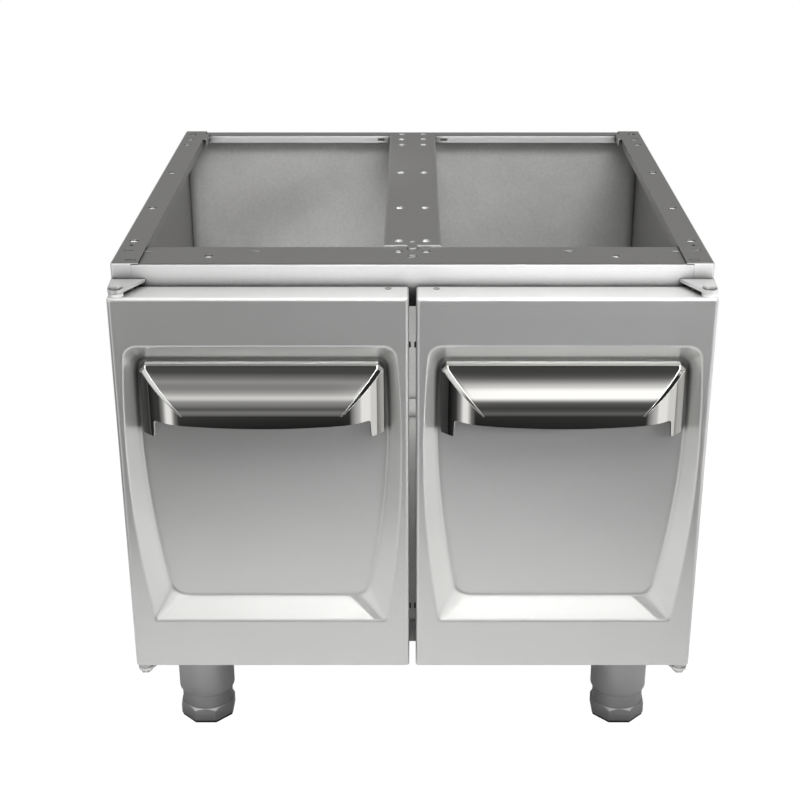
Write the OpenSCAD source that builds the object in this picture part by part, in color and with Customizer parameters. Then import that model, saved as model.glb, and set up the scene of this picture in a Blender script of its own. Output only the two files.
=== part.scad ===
// Freestanding kitchen base cabinet in folded stainless sheet: an open-topped body on
// four adjustable legs, closed at the front by two pressed doors with hood handles.
// Millimetres. X runs to the right, Y to the back and Z up. The origin is on the floor,
// in the middle of the width and of the whole depth, handles included.

/* [Body] */
// Width over the two side panels
cabinet_w = 600; // [520:10:800]
// Depth of the folded body, without the doors
body_d = 555; // [460:5:700]
// Height of the folded body, without the legs
body_h = 440; // [400:5:560]
// Thickness of the body's steel sheet
sheet = 1.5; // [1:0.1:2]
// Outer radius of the body's folds
fold_r = 2.5; // [2.2:0.1:4]
// Clearance between neighbouring sheets
fit = 0.1; // [0.05:0.05:0.2]
// Height of the floor pan's top above the body's underside
floor_rise = 29; // [24:1:40]
// Height of the floor pan's upturned edge at the back
floor_upstand = 27; // [10:1:60]
// Gap between that edge and the back panel
upstand_gap = 3; // [1:0.5:6]

/* [Top frame] */
// Width of a side panel's top flange
side_flange_w = 28; // [24:1:32]
// How much wider the top flange is at its back end
flange_step = 5; // [3:1:8]
// Length of the wider back end of the top flange
flange_step_l = 45; // [38:1:60]
// Width of a side panel's front, bottom and rear flanges
edge_flange_w = 20.5; // [18:0.5:24]
// Depth of the front rail's top plate
front_rail_d = 57.5; // [54:0.5:64]
// Height of the front rail, from the frame's top
front_rail_h = 46.5; // [44:0.5:60]
// Depth of the rear rail's top plate
rear_rail_d = 20; // [18:0.5:26]
// Height of the lips that stiffen the rails and flanges
lip_h = 10; // [8:0.5:14]
// Width of the centre rail
center_rail_w = 59; // [50:1:70]
// Height of the centre rail's side walls
center_rail_h = 22; // [18:1:30]

/* [Fixing holes] */
// Diameter of the fixing holes
hole_d = 9; // [7:0.5:10]
// Distance from the side to the fixing holes in the top flange
hole_inset = 12; // [10:0.5:14]
// Half the spacing of the two hole rows in the centre rail
center_hole_x = 14; // [11:0.5:18]
// Distance from the front to the first of the spaced holes
hole_start = 193; // [150:1:220]
// Spacing of the holes along the sides
hole_pitch = 150; // [120:5:200]

/* [Legs] */
// Height of the body above the floor, with the feet screwed in
leg_h = 160; // [130:5:200]
// Diameter of the upper sleeve
sleeve_d = 65; // [56:1:70]
// Wall of the upper sleeve
sleeve_wall = 2.5; // [2:0.25:3]
// Height of the sleeve's lower edge above the floor
sleeve_z = 39; // [34:1:50]
// Width of the octagonal foot across its flats
foot_flats = 61; // [54:0.5:66]
// Height of the octagonal foot
foot_h = 24; // [18:1:28]
// Thickness of the pad under the foot
pad_h = 3; // [2:0.5:5]
// Clearance of the foot's neck in its sleeve
foot_play = 0.5; // [0.4:0.05:0.7]
// Distance from the side to a leg's centre
leg_inset_x = 54; // [50:1:70]
// Distance from the body's front to the front legs' centre
leg_front_y = 104; // [90:1:130]
// Distance from the body's back to the rear legs' centre
leg_rear_y = 54; // [48:1:70]
// Diameter of the levelling bolt
bolt_d = 10; // [8:1:12]
// Clearance of the levelling bolt in the foot
bolt_play = 0.1; // [0.05:0.05:0.2]

/* [Doors] */
// Thickness of a door over its folded edges
door_t = 36; // [32:0.5:42]
// Gap between a door's back and the body's front
door_gap = 3; // [2.5:0.25:4]
// Gap between the two doors
center_gap = 7; // [6:0.5:9]
// Distance from the frame's top to the doors' top edge
door_drop = 24; // [22:0.5:30]
// How far the doors hang below the body
door_overhang = 6; // [4:0.5:8]
// How far a door's outer edge lies inside the cabinet's side
door_inset = 1; // [0.5:0.25:2]
// Thickness of the doors' steel sheet
door_sheet = 1.2; // [1:0.1:1.5]
// Outer radius of a door's upright front folds
door_fold_r = 4; // [3:0.25:5]
// Outer radius of a door's top and bottom front folds
door_edge_r = 3; // [2:0.25:4]
// Depth of the door liner's flanges
liner_flange = 15; // [13:0.5:16]

/* [Pressed recess] */
// Depth of the pressed recess
recess_d = 19; // [14:0.5:22]
// Distance from the door's top edge to the recess
recess_top = 48; // [42:0.5:56]
// Distance from the door's bottom edge to the recess
recess_bottom = 56; // [46:0.5:70]
// Distance from the door's sides to the recess's upper corners
recess_side = 12.5; // [11:0.5:16]
// How much narrower than its top the recess is at the bottom, each side
recess_taper = 10; // [6:0.5:14]
// How far the recess's sides bow outwards
recess_bow = 10; // [4:0.5:12]
// Height of the sloping wall above and below the recess
wall_rise = 24; // [20:0.5:30]
// Width of the sloping side wall at the top
wall_side = 12; // [10:0.5:16]
// How much further the recess's floor narrows towards the bottom
floor_taper = 12; // [8:0.5:16]
// Corner radius at the top of the recess
recess_top_r = 14; // [8:1:20]
// Corner radius at the top of the recess's floor
floor_top_r = 8; // [6:0.5:12]
// Corner radius at the bottom of the recess's rim
recess_rim_r = 3; // [2:0.5:8]
// Corner radius at the bottom of the recess's floor
recess_floor_r = 19; // [10:1:26]
// Share of the sloping wall's width taken by each of its bends
bend_share = 0.16; // [0.1:0.02:0.3]

/* [Handle] */
// Distance from the edges of the recess's floor to the handle's top and ends
handle_gap = 1; // [0.5:0.25:4]
// Height of the handle in the middle
handle_h = 62; // [54:0.5:72]
// How far the handle stands proud of the door's face
handle_proud = 10; // [6:0.5:14]
// Depth of the handle's flat top and ends in front of the recess's floor
handle_shelf = 8; // [5:0.5:12]
// Height over which the handle's top rolls forwards
roll_h = 48; // [40:0.5:53]
// Length over which the handle's ends roll forwards
roll_l = 42; // [36:0.5:48]
// Rise of the curved lower edge towards the ends
edge_rise = 6.5; // [3:0.5:9]
// How far the end lugs reach below the middle of the lower edge
lug_drop = 12; // [8:0.5:16]
// Width of an end lug
lug_w = 13; // [11:0.5:16]
// Fillet between a lug and the handle's lower edge
lug_fillet = 3; // [1.5:0.5:5]
// Thickness of the handle's sheet
handle_sheet = 1.5; // [1.2:0.1:2]
// Width of the open joint in the handle's mitred corners
mitre_slit = 1.2; // [0.8:0.1:1.6]

/* [Hinges] */
// Distance from the cabinet's side to the pivots
pivot_inset = 9.5; // [9:0.25:11]
// Distance from a door's front face to its pivots
pivot_back = 10; // [9.5:0.25:11]
// Thickness of the hinge brackets
bracket_t = 3.5; // [3:0.25:4]
// Width of a hinge bracket at the body
bracket_w = 34; // [32:0.5:38]
// Radius of a hinge bracket's round end
bracket_r = 8; // [7:0.25:8.5]
// Thickness of the bush flange between door and bracket
bush_flange = 3.7; // [3:0.1:4.5]
// Running clearance above the bush flange
bush_play = 0.3; // [0.2:0.05:0.4]
// Diameter of the hinge pins
pin_d = 7; // [6:0.25:7.5]
// Running clearance of the hinge pins in their bushes
pin_play = 0.08; // [0.02:0.02:0.1]
// Depth of a hinge pin inside the door
pin_reach = 14; // [10:0.5:16]

/* [Fittings] */
// Diameter of the rubber buffers' heads
buffer_d = 6.5; // [5:0.5:8]
// Height of the rubber buffers' heads
buffer_h = 1.8; // [1.2:0.1:2.2]
// Distance from the door's top and bottom edges to the buffers
buffer_inset = 59; // [40:1:80]
// Distance from the door's sides to the rivets in its edges
rivet_inset = 20.5; // [18:0.5:26]
// Distance of the magnet catches from the middle
catch_x = 60; // [40:1:90]
// Length of a magnet catch
catch_l = 46; // [36:1:54]
// Gap between a closed door's strike plate and the catch
catch_gap = 0.3; // [0.2:0.1:0.6]

/* [Hidden] */
$fn = 48;

STEEL = "#8f8f8d";
BRIGHT = "#c9c9c9";
CHROME = "#e2e2e4";
LEG_GREY = "#6e6e70";
BLACK = "#1c1c1c";
ZINC = "#b4b2aa";
NYLON = "#e8e6de";

// How far a cut runs past the face that it opens
over = 1;
drill = 20;

// Places of the body
side_x = cabinet_w / 2;
wall_x = side_x - sheet;
top_z = leg_h + body_h;
total_d = handle_proud + door_t + door_gap + body_d;
front_y = handle_proud + door_t + door_gap - total_d / 2;
back_y = front_y + body_d;
flange_x = side_x - side_flange_w;
face_x = side_x - edge_flange_w;
rail_z = top_z - sheet;
rail_low = top_z - front_rail_h;
rail_back = front_y + front_rail_d;
rear_front = back_y - rear_rail_d;
panel_y = back_y - sheet;
floor_z = leg_h + floor_rise;
rail_return = 20;
rear_flange_h = 28;
panel_top = rail_z - sheet - fit;
return_drop = 14;

// Places of the fixing holes, as distances behind the body's front
front_holes = [72];
spaced_end = 110;
rear_holes = [body_d - 75, body_d - 46, body_d - 19];
spaced_holes = [for (d = hole_start; d < body_d - spaced_end; d = d + hole_pitch) d];
row_holes = concat(front_holes, spaced_holes, rear_holes);
last_hole = row_holes[len(row_holes) - 1];
slot_y = 41;
rail_hole_d = hole_d - 0.5;
rail_hole = [side_x - 95, 25.5];
tab_w = 10;
tab_l = 10;

// Small punched slots, as [length, width], and where they lie
corner_slot = [10, 4];
edge_slot = [12, 3];
edge_slot_y = 9;
edge_slot_x = face_x + 1;
rail_slot = [11, 4];
middle_slot = [11, 5];
middle_slot_x = side_x - 141;
lip_slot = [9, 3];
lip_slot_x = center_rail_w / 2 + 7;
small_hole = [slot_y + 16, 4];

// Places of the legs
leg_x = side_x - leg_inset_x;
leg_ys = [front_y + leg_front_y, back_y - leg_rear_y];
channel_d = sleeve_d + 15;
channel_t = 2;
channel_x = face_x - 5;
neck_d = sleeve_d - 2 * sleeve_wall - 2 * foot_play;
cap_t = 10;
neck_gap = 0.3;
neck_top = leg_h - cap_t - neck_gap;
neck_wall = 4;
boss_d = bolt_d + 14;
bolt_low = foot_h + 6;

// Places of the doors
door_x0 = center_gap / 2;
door_x1 = side_x - door_inset;
door_w = door_x1 - door_x0;
door_mid = (door_x0 + door_x1) / 2;
door_z0 = leg_h - door_overhang;
door_z1 = top_z - door_drop;
door_back = front_y - door_gap;
door_front = door_back - door_t;
recess_y = door_front + recess_d;

// Places of the hinges
pivot_x = side_x - pivot_inset;
pivot_y = door_front + pivot_back;
upper_z = door_z1 + bush_flange + bush_play;
lower_z = door_z0 - bush_flange - bush_play;
bracket_y = front_y + sheet + fit;
bush_d = pin_d + 4;
plate_t = 3;
plate_w = 34;
plate_d = 17;
plate_start = 3.5;
screw_d = 5;
screw_z = rail_low + 13;
screw_xs = [side_x - 11, side_x - 27];
lower_screw_x = side_x - 12;
lower_screw_ys = [front_y + 14, front_y + 32];
lower_flange_l = 42;

// Places of the handle
handle_out = recess_d + handle_proud;
handle_z1 = door_z1 - recess_top - wall_rise - handle_gap;
handle_z0 = handle_z1 - handle_h;
lug_z = handle_z0 - lug_drop;
half_l = door_w / 2 - recess_side - wall_side - handle_gap;
handle_l = 2 * half_l;
handle_corner_r = floor_top_r - handle_gap;
flange_w = 14;
handle_rivet_d = 4;
handle_rivet_x = half_l - 8;
handle_rivet_zs = [handle_z1 - 30, lug_z + 9];

// Places of the catches and buffers
catch_h = 13;
catch_screw_y = front_y + 10;
strike_t = 1;
catch_front = door_back + strike_t + catch_gap;
buffer_y = door_back - 7;
stem_d = 4;
rivet_y = door_back - 6;
liner_rivet_d = 3.2;
liner_y = door_back - liner_flange;

// A block between two corners
module span(a, b) {
    translate(a) cube(b - a);
}

// The part of the shape on both sides of the middle plane
module both_sides() {
    children();
    mirror([1, 0, 0]) children();
}

// Rectangle with round corners, from the origin
module soft_rect(w, h, r) {
    translate([r, 0]) square([w - 2 * r, h]);
    translate([0, r]) square([w, h - 2 * r]);
    for (x = [r, w - r], y = [r, h - r]) translate([x, y]) circle(r);
}

// Rectangle whose two corners on the X axis are round
module soft_front(w, h, r) {
    translate([0, r]) square([w, h - r]);
    translate([r, 0]) square([w - 2 * r, h / 2]);
    for (x = [r, w - r]) translate([x, r]) circle(r);
}

// Extrusions of a drawing along X, standing in the YZ plane, and along Y, in the XZ plane
module along_x(length) {
    rotate([90, 0, 90]) linear_extrude(length) children();
}

module along_y(length) {
    translate([0, length, 0]) rotate([90, 0, 0]) linear_extrude(length) children();
}

// Block between two corners with every edge round, as folded sheet is on the outside
module soft_span(a, b, r) {
    size = b - a;
    translate(a) intersection() {
        linear_extrude(size.z) soft_rect(size.x, size.y, r);
        along_x(size.x) soft_rect(size.y, size.z, r);
        along_y(size.y) soft_rect(size.x, size.z, r);
    }
}

// Upright hole and upright slot through the top of the frame
module top_hole(x, depth, d = hole_d) {
    translate([x, front_y + depth, top_z - 3 * sheet]) cylinder(h = 4 * sheet, d = d);
}

module top_slot(x, depth, slot) {
    run = (slot[0] - slot[1]) / 2;
    for (s = [-1, 1]) top_hole(x + s * run, depth, slot[1]);
    span(
        [x - run, front_y + depth - slot[1] / 2, top_z - 3 * sheet],
        [x + run, front_y + depth + slot[1] / 2, top_z + sheet]
    );
}

// Side panel on the right: one wall with folded flanges on all four edges
module side_panel() {
    difference() {
        intersection() {
            soft_span(
                [side_x - 4 * side_flange_w, front_y, leg_h], [side_x, back_y, top_z], fold_r
            );
            union() {
                span([wall_x, front_y, leg_h], [side_x, back_y, top_z]);
                // Top flange with its wider back end
                span([flange_x, front_y, top_z - sheet], [side_x, back_y, top_z]);
                span(
                    [flange_x - flange_step, back_y - flange_step_l, top_z - sheet],
                    [side_x, rear_front + 2 * sheet, top_z]
                );
                // Lip on the flange's inner edge, between the rails
                span(
                    [flange_x, rail_back + fit, top_z - lip_h],
                    [flange_x + sheet, back_y - flange_step_l, top_z]
                );
                span(
                    [flange_x - flange_step, back_y - flange_step_l, top_z - lip_h],
                    [flange_x - flange_step + sheet, rear_front - fit, top_z]
                );
                // Front, rear and bottom flanges
                span([face_x, front_y, leg_h], [side_x, front_y + sheet, top_z]);
                span([face_x, panel_y, leg_h], [side_x, back_y, top_z]);
                span([face_x, front_y, leg_h], [side_x, back_y, leg_h + sheet]);
                // Return of the front flange, between the floor pan and the front rail
                span(
                    [face_x, front_y, floor_z + fit],
                    [face_x + sheet, front_y + lip_h, rail_low - return_drop]
                );
            }
        }
        // Slot that the upper hinge bracket passes through
        span(
            [face_x - over, front_y - over, upper_z - fit],
            [wall_x, front_y + sheet + over, upper_z + bracket_t + fit]
        );
        hinge_screw_sites() screw_hole();
        lower_screw_sites() screw_hole();
        for (d = row_holes) top_hole(side_x - hole_inset, d);
        top_hole(side_x - hole_inset, small_hole[0], small_hole[1]);
        top_slot(side_x - hole_inset, slot_y, corner_slot);
        top_slot(edge_slot_x, edge_slot_y, edge_slot);
    }
}

// Back panel between the side walls, in front of their rear flanges
module back_panel() {
    color(STEEL)
    difference() {
        span([fit - wall_x, panel_y - sheet, leg_h], [wall_x - fit, panel_y - fit, panel_top]);
        // Clearance over the side panels' bottom flanges
        both_sides() span(
            [face_x - fit, panel_y - 2 * sheet, leg_h - over],
            [side_x, back_y, leg_h + sheet + fit]
        );
    }
}

// Floor of the cabinet: a raised pan with flanges down to the body's underside at the front
// and the sides, and its rear edge turned up
module floor_pan() {
    pan_x = wall_x - fit;
    back = panel_y - sheet - upstand_gap;
    low = leg_h + sheet + fit;
    color(STEEL) {
        intersection() {
            soft_span(
                [-side_x - 4 * fold_r, front_y, leg_h],
                [side_x + 4 * fold_r, back + 4 * fold_r, floor_z], fold_r
            );
            union() {
                span([fit - face_x, front_y, floor_z - sheet], [face_x - fit, back, floor_z]);
                span(
                    [-pan_x, front_y + sheet + fit, floor_z - sheet], [pan_x, back, floor_z]
                );
                span([fit - face_x, front_y, leg_h], [face_x - fit, front_y + sheet, floor_z]);
                both_sides() span(
                    [pan_x - sheet, front_y + sheet + fit, low], [pan_x, back, floor_z]
                );
            }
        }
        span([-pan_x, back - sheet, floor_z - sheet], [pan_x, back, floor_z + floor_upstand]);
    }
}

// Front rail: a channel whose top plate runs under the side flanges and the centre rail
module front_rail() {
    color(STEEL)
    difference() {
        intersection() {
            soft_span(
                [-side_x - 4 * fold_r, front_y, rail_low],
                [side_x + 4 * fold_r, rail_back, rail_z], fold_r
            );
            union() {
                span([fit - face_x, front_y, rail_z - sheet], [face_x - fit, rail_back, rail_z]);
                span(
                    [fit - wall_x, front_y + sheet + fit, rail_z - sheet],
                    [wall_x - fit, rail_back, rail_z]
                );
                span([fit - face_x, front_y, rail_low], [face_x - fit, front_y + sheet, rail_z]);
                span(
                    [fit - face_x, front_y, rail_low],
                    [face_x - fit, front_y + rail_return, rail_low + sheet]
                );
                span(
                    [fit - wall_x, rail_back - sheet, rail_z - lip_h],
                    [wall_x - fit, rail_back, rail_z]
                );
            }
        }
        both_sides() {
            // Slot that the upper hinge bracket passes through
            span(
                [side_x - bracket_w - fit, front_y - over, upper_z - fit],
                [side_x, front_y + sheet + over, upper_z + bracket_t + fit]
            );
            hinge_screw_sites() screw_hole();
            catch_screw_site() screw_hole();
            top_hole(center_hole_x, slot_y, rail_hole_d);
            top_hole(rail_hole.x, rail_hole.y, rail_hole_d);
            top_slot(flange_x - rail_slot[1], slot_y, rail_slot);
            top_slot(middle_slot_x, slot_y, middle_slot);
            // Openings under the side flanges' slots
            top_slot(side_x - hole_inset, slot_y, corner_slot);
            top_slot(edge_slot_x, edge_slot_y, edge_slot);
        }
        top_hole(0, rail_hole.y, hole_d + 1);
    }
}

// Rear rail: an inverted channel over the back panel, with two slots in its front lip
module rear_rail() {
    color(STEEL)
    difference() {
        intersection() {
            soft_span(
                [-side_x - 4 * fold_r, rear_front, rail_z - rear_flange_h - 4 * fold_r],
                [side_x + 4 * fold_r, back_y, rail_z], fold_r
            );
            union() {
                span([fit - face_x, rear_front, rail_z - sheet], [face_x - fit, back_y, rail_z]);
                span(
                    [fit - wall_x, rear_front, rail_z - sheet],
                    [wall_x - fit, panel_y - fit, rail_z]
                );
                span(
                    [fit - face_x, panel_y, rail_z - rear_flange_h], [face_x - fit, back_y, rail_z]
                );
                span(
                    [fit - wall_x, rear_front, rail_z - lip_h],
                    [wall_x - fit, rear_front + sheet, rail_z]
                );
            }
        }
        both_sides() {
            span(
                [lip_slot_x, rear_front - over, rail_z - lip_h + lip_slot[1]],
                [lip_slot_x + lip_slot[0], rear_front + sheet + over, rail_z - lip_h + 2 * lip_slot[1]]
            );
            top_hole(center_hole_x, last_hole);
            top_hole(side_x - hole_inset, last_hole);
        }
    }
}

// Centre rail: an inverted channel with a round tab on the front rail and two on the rear
module center_rail() {
    half = center_rail_w / 2;
    tab_r = hole_d / 2 + 5;
    color(STEEL)
    difference() {
        union() {
            intersection() {
                soft_span(
                    [-half, rail_back - 4 * fold_r, top_z - center_rail_h - 4 * fold_r],
                    [half, rear_front + 4 * fold_r, top_z], fold_r
                );
                union() {
                    span(
                        [-half, rail_back + fit, top_z - sheet], [half, rear_front - fit, top_z]
                    );
                    both_sides() span(
                        [half - sheet, rail_back + fit, top_z - center_rail_h],
                        [half, rear_front - fit, top_z]
                    );
                }
            }
            // Front tab
            span(
                [-tab_w / 2, rail_back - tab_l + tab_w / 2, top_z - sheet],
                [tab_w / 2, rail_back + over, top_z]
            );
            translate([0, rail_back - tab_l + tab_w / 2, top_z - sheet])
                cylinder(h = sheet, d = tab_w);
            // Rear tabs
            both_sides() {
                span(
                    [center_hole_x - tab_r, rear_front - over, top_z - sheet],
                    [center_hole_x + tab_r, front_y + last_hole, top_z]
                );
                translate([center_hole_x, front_y + last_hole, top_z - sheet])
                    cylinder(h = sheet, r = tab_r);
            }
        }
        both_sides() for (d = row_holes) top_hole(center_hole_x, d);
        top_hole(0, front_rail_d + 10, hole_d - 1);
    }
}

// Cross channel that carries a pair of legs, upright walls against the floor pan
module leg_channel(y) {
    high = floor_z - sheet;
    color(STEEL)
    difference() {
        union() {
            span(
                [-channel_x, y - channel_d / 2, leg_h],
                [channel_x, y + channel_d / 2, leg_h + channel_t]
            );
            for (s = [-1, 1]) span(
                [-channel_x, y + s * (channel_d - channel_t) / 2 - channel_t / 2, leg_h],
                [channel_x, y + s * (channel_d - channel_t) / 2 + channel_t / 2, high]
            );
        }
        both_sides() translate([leg_x, y, leg_h - over])
            cylinder(h = 2 * over + channel_t, d = bolt_d);
    }
}

// Upper sleeve of a leg: a tube closed by a cap that the levelling bolt passes through
module leg_sleeve(x, y) {
    color(LEG_GREY)
    translate([x, y, 0])
    difference() {
        translate([0, 0, sleeve_z]) cylinder(h = leg_h - sleeve_z, d = sleeve_d, $fn = 96);
        translate([0, 0, sleeve_z - over])
            cylinder(h = leg_h - sleeve_z - cap_t + over, d = sleeve_d - 2 * sleeve_wall, $fn = 96);
        translate([0, 0, sleeve_z]) cylinder(h = leg_h, d = bolt_d);
    }
}

// Levelling bolts, heads inside the cross channels and shanks down into the feet
module leg_bolts() {
    head_h = 6.5;
    color(ZINC)
    both_sides() for (y = leg_ys) translate([leg_x, y, 0]) {
        translate([0, 0, leg_h + channel_t]) cylinder(h = head_h, d = 1.85 * bolt_d, $fn = 6);
        translate([0, 0, bolt_low]) cylinder(h = leg_h + channel_t - bolt_low, d = bolt_d);
    }
}

// Foot: an octagon with a turned top chamfer, its neck sliding in the sleeve
module foot(x, y) {
    corner_r = foot_flats / 2 / cos(22.5);
    chamfer_h = 5.5;
    hollow = neck_d - 2 * neck_wall;
    color(LEG_GREY)
    translate([x, y, 0])
    difference() {
        union() {
            intersection() {
                translate([0, 0, pad_h]) rotate(22.5)
                    cylinder(h = foot_h - pad_h, r = corner_r, $fn = 8);
                union() {
                    translate([0, 0, pad_h])
                        cylinder(h = foot_h - pad_h - chamfer_h, r = corner_r + over, $fn = 96);
                    translate([0, 0, foot_h - chamfer_h])
                        cylinder(h = chamfer_h, r1 = corner_r + 0.3, r2 = neck_d / 2 + 0.4, $fn = 96);
                }
            }
            translate([0, 0, foot_h]) cylinder(h = neck_top - foot_h, d = neck_d, $fn = 96);
        }
        // Hollow neck round a central threaded boss
        translate([0, 0, foot_h - 2]) difference() {
            cylinder(h = neck_top, d = hollow, $fn = 96);
            cylinder(h = neck_top, d = boss_d);
        }
        translate([0, 0, pad_h + 5]) cylinder(h = neck_top, d = bolt_d + 2 * bolt_play);
    }
}

// Pad under a foot
module foot_pad(x, y) {
    color(BLACK)
    translate([x, y, 0]) rotate(22.5)
        cylinder(h = pad_h, r = (foot_flats - 2) / 2 / cos(22.5), $fn = 8);
}

// Tangent point on a circle for a line from a point outside it, on one side
function tangent_point(p, c, r, side) =
    let (v = p - c, turn = atan2(v.y, v.x) + side * acos(r / norm(v)))
    c + r * [cos(turn), sin(turn)];

// Plan of a hinge bracket's arm, from the body to the round end at the pivot
module bracket_plan(back) {
    pivot = [pivot_x, pivot_y];
    inner = [side_x - bracket_w, front_y];
    outer = [side_x, front_y];
    difference() {
        union() {
            polygon([
                [wall_x - fit, back], [wall_x - fit, front_y - fit], outer - [0, fit],
                tangent_point(outer, pivot, bracket_r, -1), pivot,
                tangent_point(inner, pivot, bracket_r, 1), inner, [inner.x, back]
            ]);
            translate(pivot) circle(bracket_r);
        }
        translate(pivot) circle(d = pin_d);
    }
}

// Places where screws hold the upper bracket to the side panel and the front rail
module hinge_screw_sites() {
    for (x = screw_xs) translate([x, front_y, screw_z]) rotate([90, 0, 0]) children();
}

// Places where screws hold the lower bracket to the side panel's bottom flange
module lower_screw_sites() {
    for (y = lower_screw_ys) translate([lower_screw_x, y, leg_h]) children();
}

// Place where a screw holds a magnet catch under the front rail
module catch_screw_site() {
    translate([catch_x, catch_screw_y, rail_low]) children();
}

module screw_hole() {
    cylinder(h = drill, d = screw_d, center = true);
}

// Upper hinge bracket: an arm through the slot and a flange behind the front sheets
module upper_bracket() {
    back = bracket_y + bracket_t;
    difference() {
        union() {
            translate([0, 0, upper_z]) linear_extrude(bracket_t) bracket_plan(back);
            span(
                [side_x - bracket_w, bracket_y, rail_low + 2 * sheet],
                [wall_x - fit, back, upper_z + bracket_t]
            );
        }
        hinge_screw_sites() screw_hole();
    }
}

// Lower hinge bracket: an arm under the door, cranked up to the bottom flange
module lower_bracket() {
    low = lower_z - bracket_t;
    difference() {
        union() {
            translate([0, 0, low]) linear_extrude(bracket_t) bracket_plan(front_y + bracket_t);
            span([side_x - bracket_w, front_y, low], [wall_x - fit, front_y + bracket_t, leg_h]);
            span(
                [side_x - bracket_w, front_y, leg_h - bracket_t],
                [wall_x - fit, front_y + lower_flange_l, leg_h]
            );
        }
        lower_screw_sites() screw_hole();
    }
}

// Hinge pin with a six-sided head, standing head up at the origin
module hinge_pin(reach) {
    translate([0, 0, -reach]) cylinder(h = reach, d = pin_d);
    cylinder(h = 3.5, d = 13, $fn = 6);
}

module upper_pin() {
    translate([pivot_x, pivot_y, upper_z + bracket_t])
        hinge_pin(bracket_t + bush_play + bush_flange + pin_reach);
}

module lower_pin() {
    translate([pivot_x, pivot_y, lower_z - bracket_t]) mirror([0, 0, 1])
        hinge_pin(bracket_t + bush_play + bush_flange + pin_reach);
}

// Bush in a door's edge: a flange outside and a sleeve inside, standing flange up
module hinge_bush() {
    translate([0, 0, -pin_reach - 2]) difference() {
        union() {
            cylinder(h = pin_reach + 2, d = bush_d);
            translate([0, 0, pin_reach + 2]) cylinder(h = bush_flange, d = bush_d + 4);
        }
        translate([0, 0, 1]) cylinder(h = pin_reach + bush_flange + 2, d = pin_d + 2 * pin_play);
    }
}

module upper_bush() {
    translate([pivot_x, pivot_y, door_z1]) hinge_bush();
}

module lower_bush() {
    translate([pivot_x, pivot_y, door_z0]) mirror([0, 0, 1]) hinge_bush();
}

// Holes for the bushes in the door's folded edges
module bush_holes() {
    for (z = [door_z0, door_z1]) translate([pivot_x, pivot_y, z])
        cylinder(h = drill, d = bush_d, center = true);
}

// Screws of the hinge brackets and the magnet catches
module bracket_screws() {
    head_d = 1.8 * screw_d;
    head_h = 2.8;
    grip = sheet + fit + bracket_t;
    color(ZINC)
    both_sides() {
        hinge_screw_sites() {
            translate([0, 0, -grip]) cylinder(h = grip, d = screw_d);
            translate([0, 0, -grip - head_h]) cylinder(h = head_h, d = head_d);
        }
        lower_screw_sites() {
            translate([0, 0, -bracket_t]) cylinder(h = bracket_t + sheet + 2, d = screw_d);
            translate([0, 0, -bracket_t - head_h]) cylinder(h = head_h, d = head_d);
        }
        catch_screw_site() {
            translate([0, 0, -6]) cylinder(h = 6 + sheet, d = screw_d);
            translate([0, 0, sheet]) cylinder(h = head_h, d = head_d);
        }
    }
}

// Magnet catch under the front rail, with two pole plates standing out of its case
module magnet_catch() {
    pole_t = 2;
    x0 = catch_x - catch_l / 2;
    x1 = catch_x + catch_l / 2;
    difference() {
        union() {
            span([x0, front_y + 1, rail_low - catch_h], [x1, front_y + rail_return, rail_low]);
            for (z = [rail_low - catch_h + pole_t, rail_low - 2 * pole_t])
                span([x0 + 4, catch_front, z], [x1 - 4, front_y + 2, z + pole_t]);
        }
        catch_screw_site() translate([0, 0, -6]) cylinder(h = 7, d = screw_d);
    }
}

// Door: solid form of the folded box, drawn in by a wall thickness and open at the back
module door_form(wall) {
    w = door_w - 2 * wall;
    h = door_z1 - door_z0 - 2 * wall;
    d = door_t - wall + (wall > 0 ? over : 0);
    translate([door_x0 + wall, door_front + wall, door_z0 + wall]) intersection() {
        linear_extrude(h) soft_front(w, d, door_fold_r - wall);
        along_x(w) union() {
            translate([door_edge_r - wall, 0]) square([d - door_edge_r + wall, h]);
            translate([0, door_edge_r - wall]) square([d, h - 2 * (door_edge_r - wall)]);
            for (z = [door_edge_r - wall, h - door_edge_r + wall])
                translate([door_edge_r - wall, z]) circle(door_edge_r - wall);
        }
    }
}

function mix(a, b, share) = a + (b - a) * share;

// Outline of the recess at its rim (share 0) to its floor (share 1), grown by g all round:
// top and bottom heights, half widths there, bow of the sides and the two corner radii
function recess_outline(share, g) = [
    door_z1 - recess_top - wall_rise * share + g,
    door_z0 + recess_bottom + wall_rise * share - g,
    door_w / 2 - recess_side - wall_side * share + g,
    door_w / 2 - recess_side - recess_taper - (wall_side + floor_taper) * share + g,
    recess_bow,
    mix(recess_top_r, floor_top_r, share),
    mix(recess_rim_r, recess_floor_r, share)
];

// Corner of the outline: an arc that touches the level edge and the leaning side
function corner_arc(x, z, r, lean, up, steps) =
    let (cx = x + r * tan(lean) - r / cos(lean), cz = z - up * r)
    [for (i = [0:steps]) let (a = mix(90, lean, i / steps))
        [cx + r * cos(a), cz + up * r * sin(a)]];

// Right half of the outline from the top to the bottom, its side bowed as a parabola
function half_outline(o) =
    let (
        h = o[0] - o[1], bow = 4 * o[4],
        lean_top = atan((o[3] - o[2] + bow) / h),
        lean_low = atan((o[2] - o[3] + bow) / h),
        u0 = o[5] * (1 - sin(lean_top)) / h,
        u1 = 1 - o[6] * (1 - sin(lean_low)) / h,
        low = corner_arc(o[3], o[1], o[6], lean_low, -1, 5)
    )
    concat(
        corner_arc(o[2], o[0], o[5], lean_top, 1, 5),
        [for (i = [1:11]) let (u = mix(u0, u1, i / 12))
            [mix(o[2], o[3], u) + bow * u * (1 - u), mix(o[0], o[1], u)]],
        [for (i = [5:-1:0]) low[i]]
    );

function full_outline(o) =
    let (half = half_outline(o), n = len(half))
    concat(half, [for (i = [n - 1:-1:0]) [-half[i].x, half[i].y]]);

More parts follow.
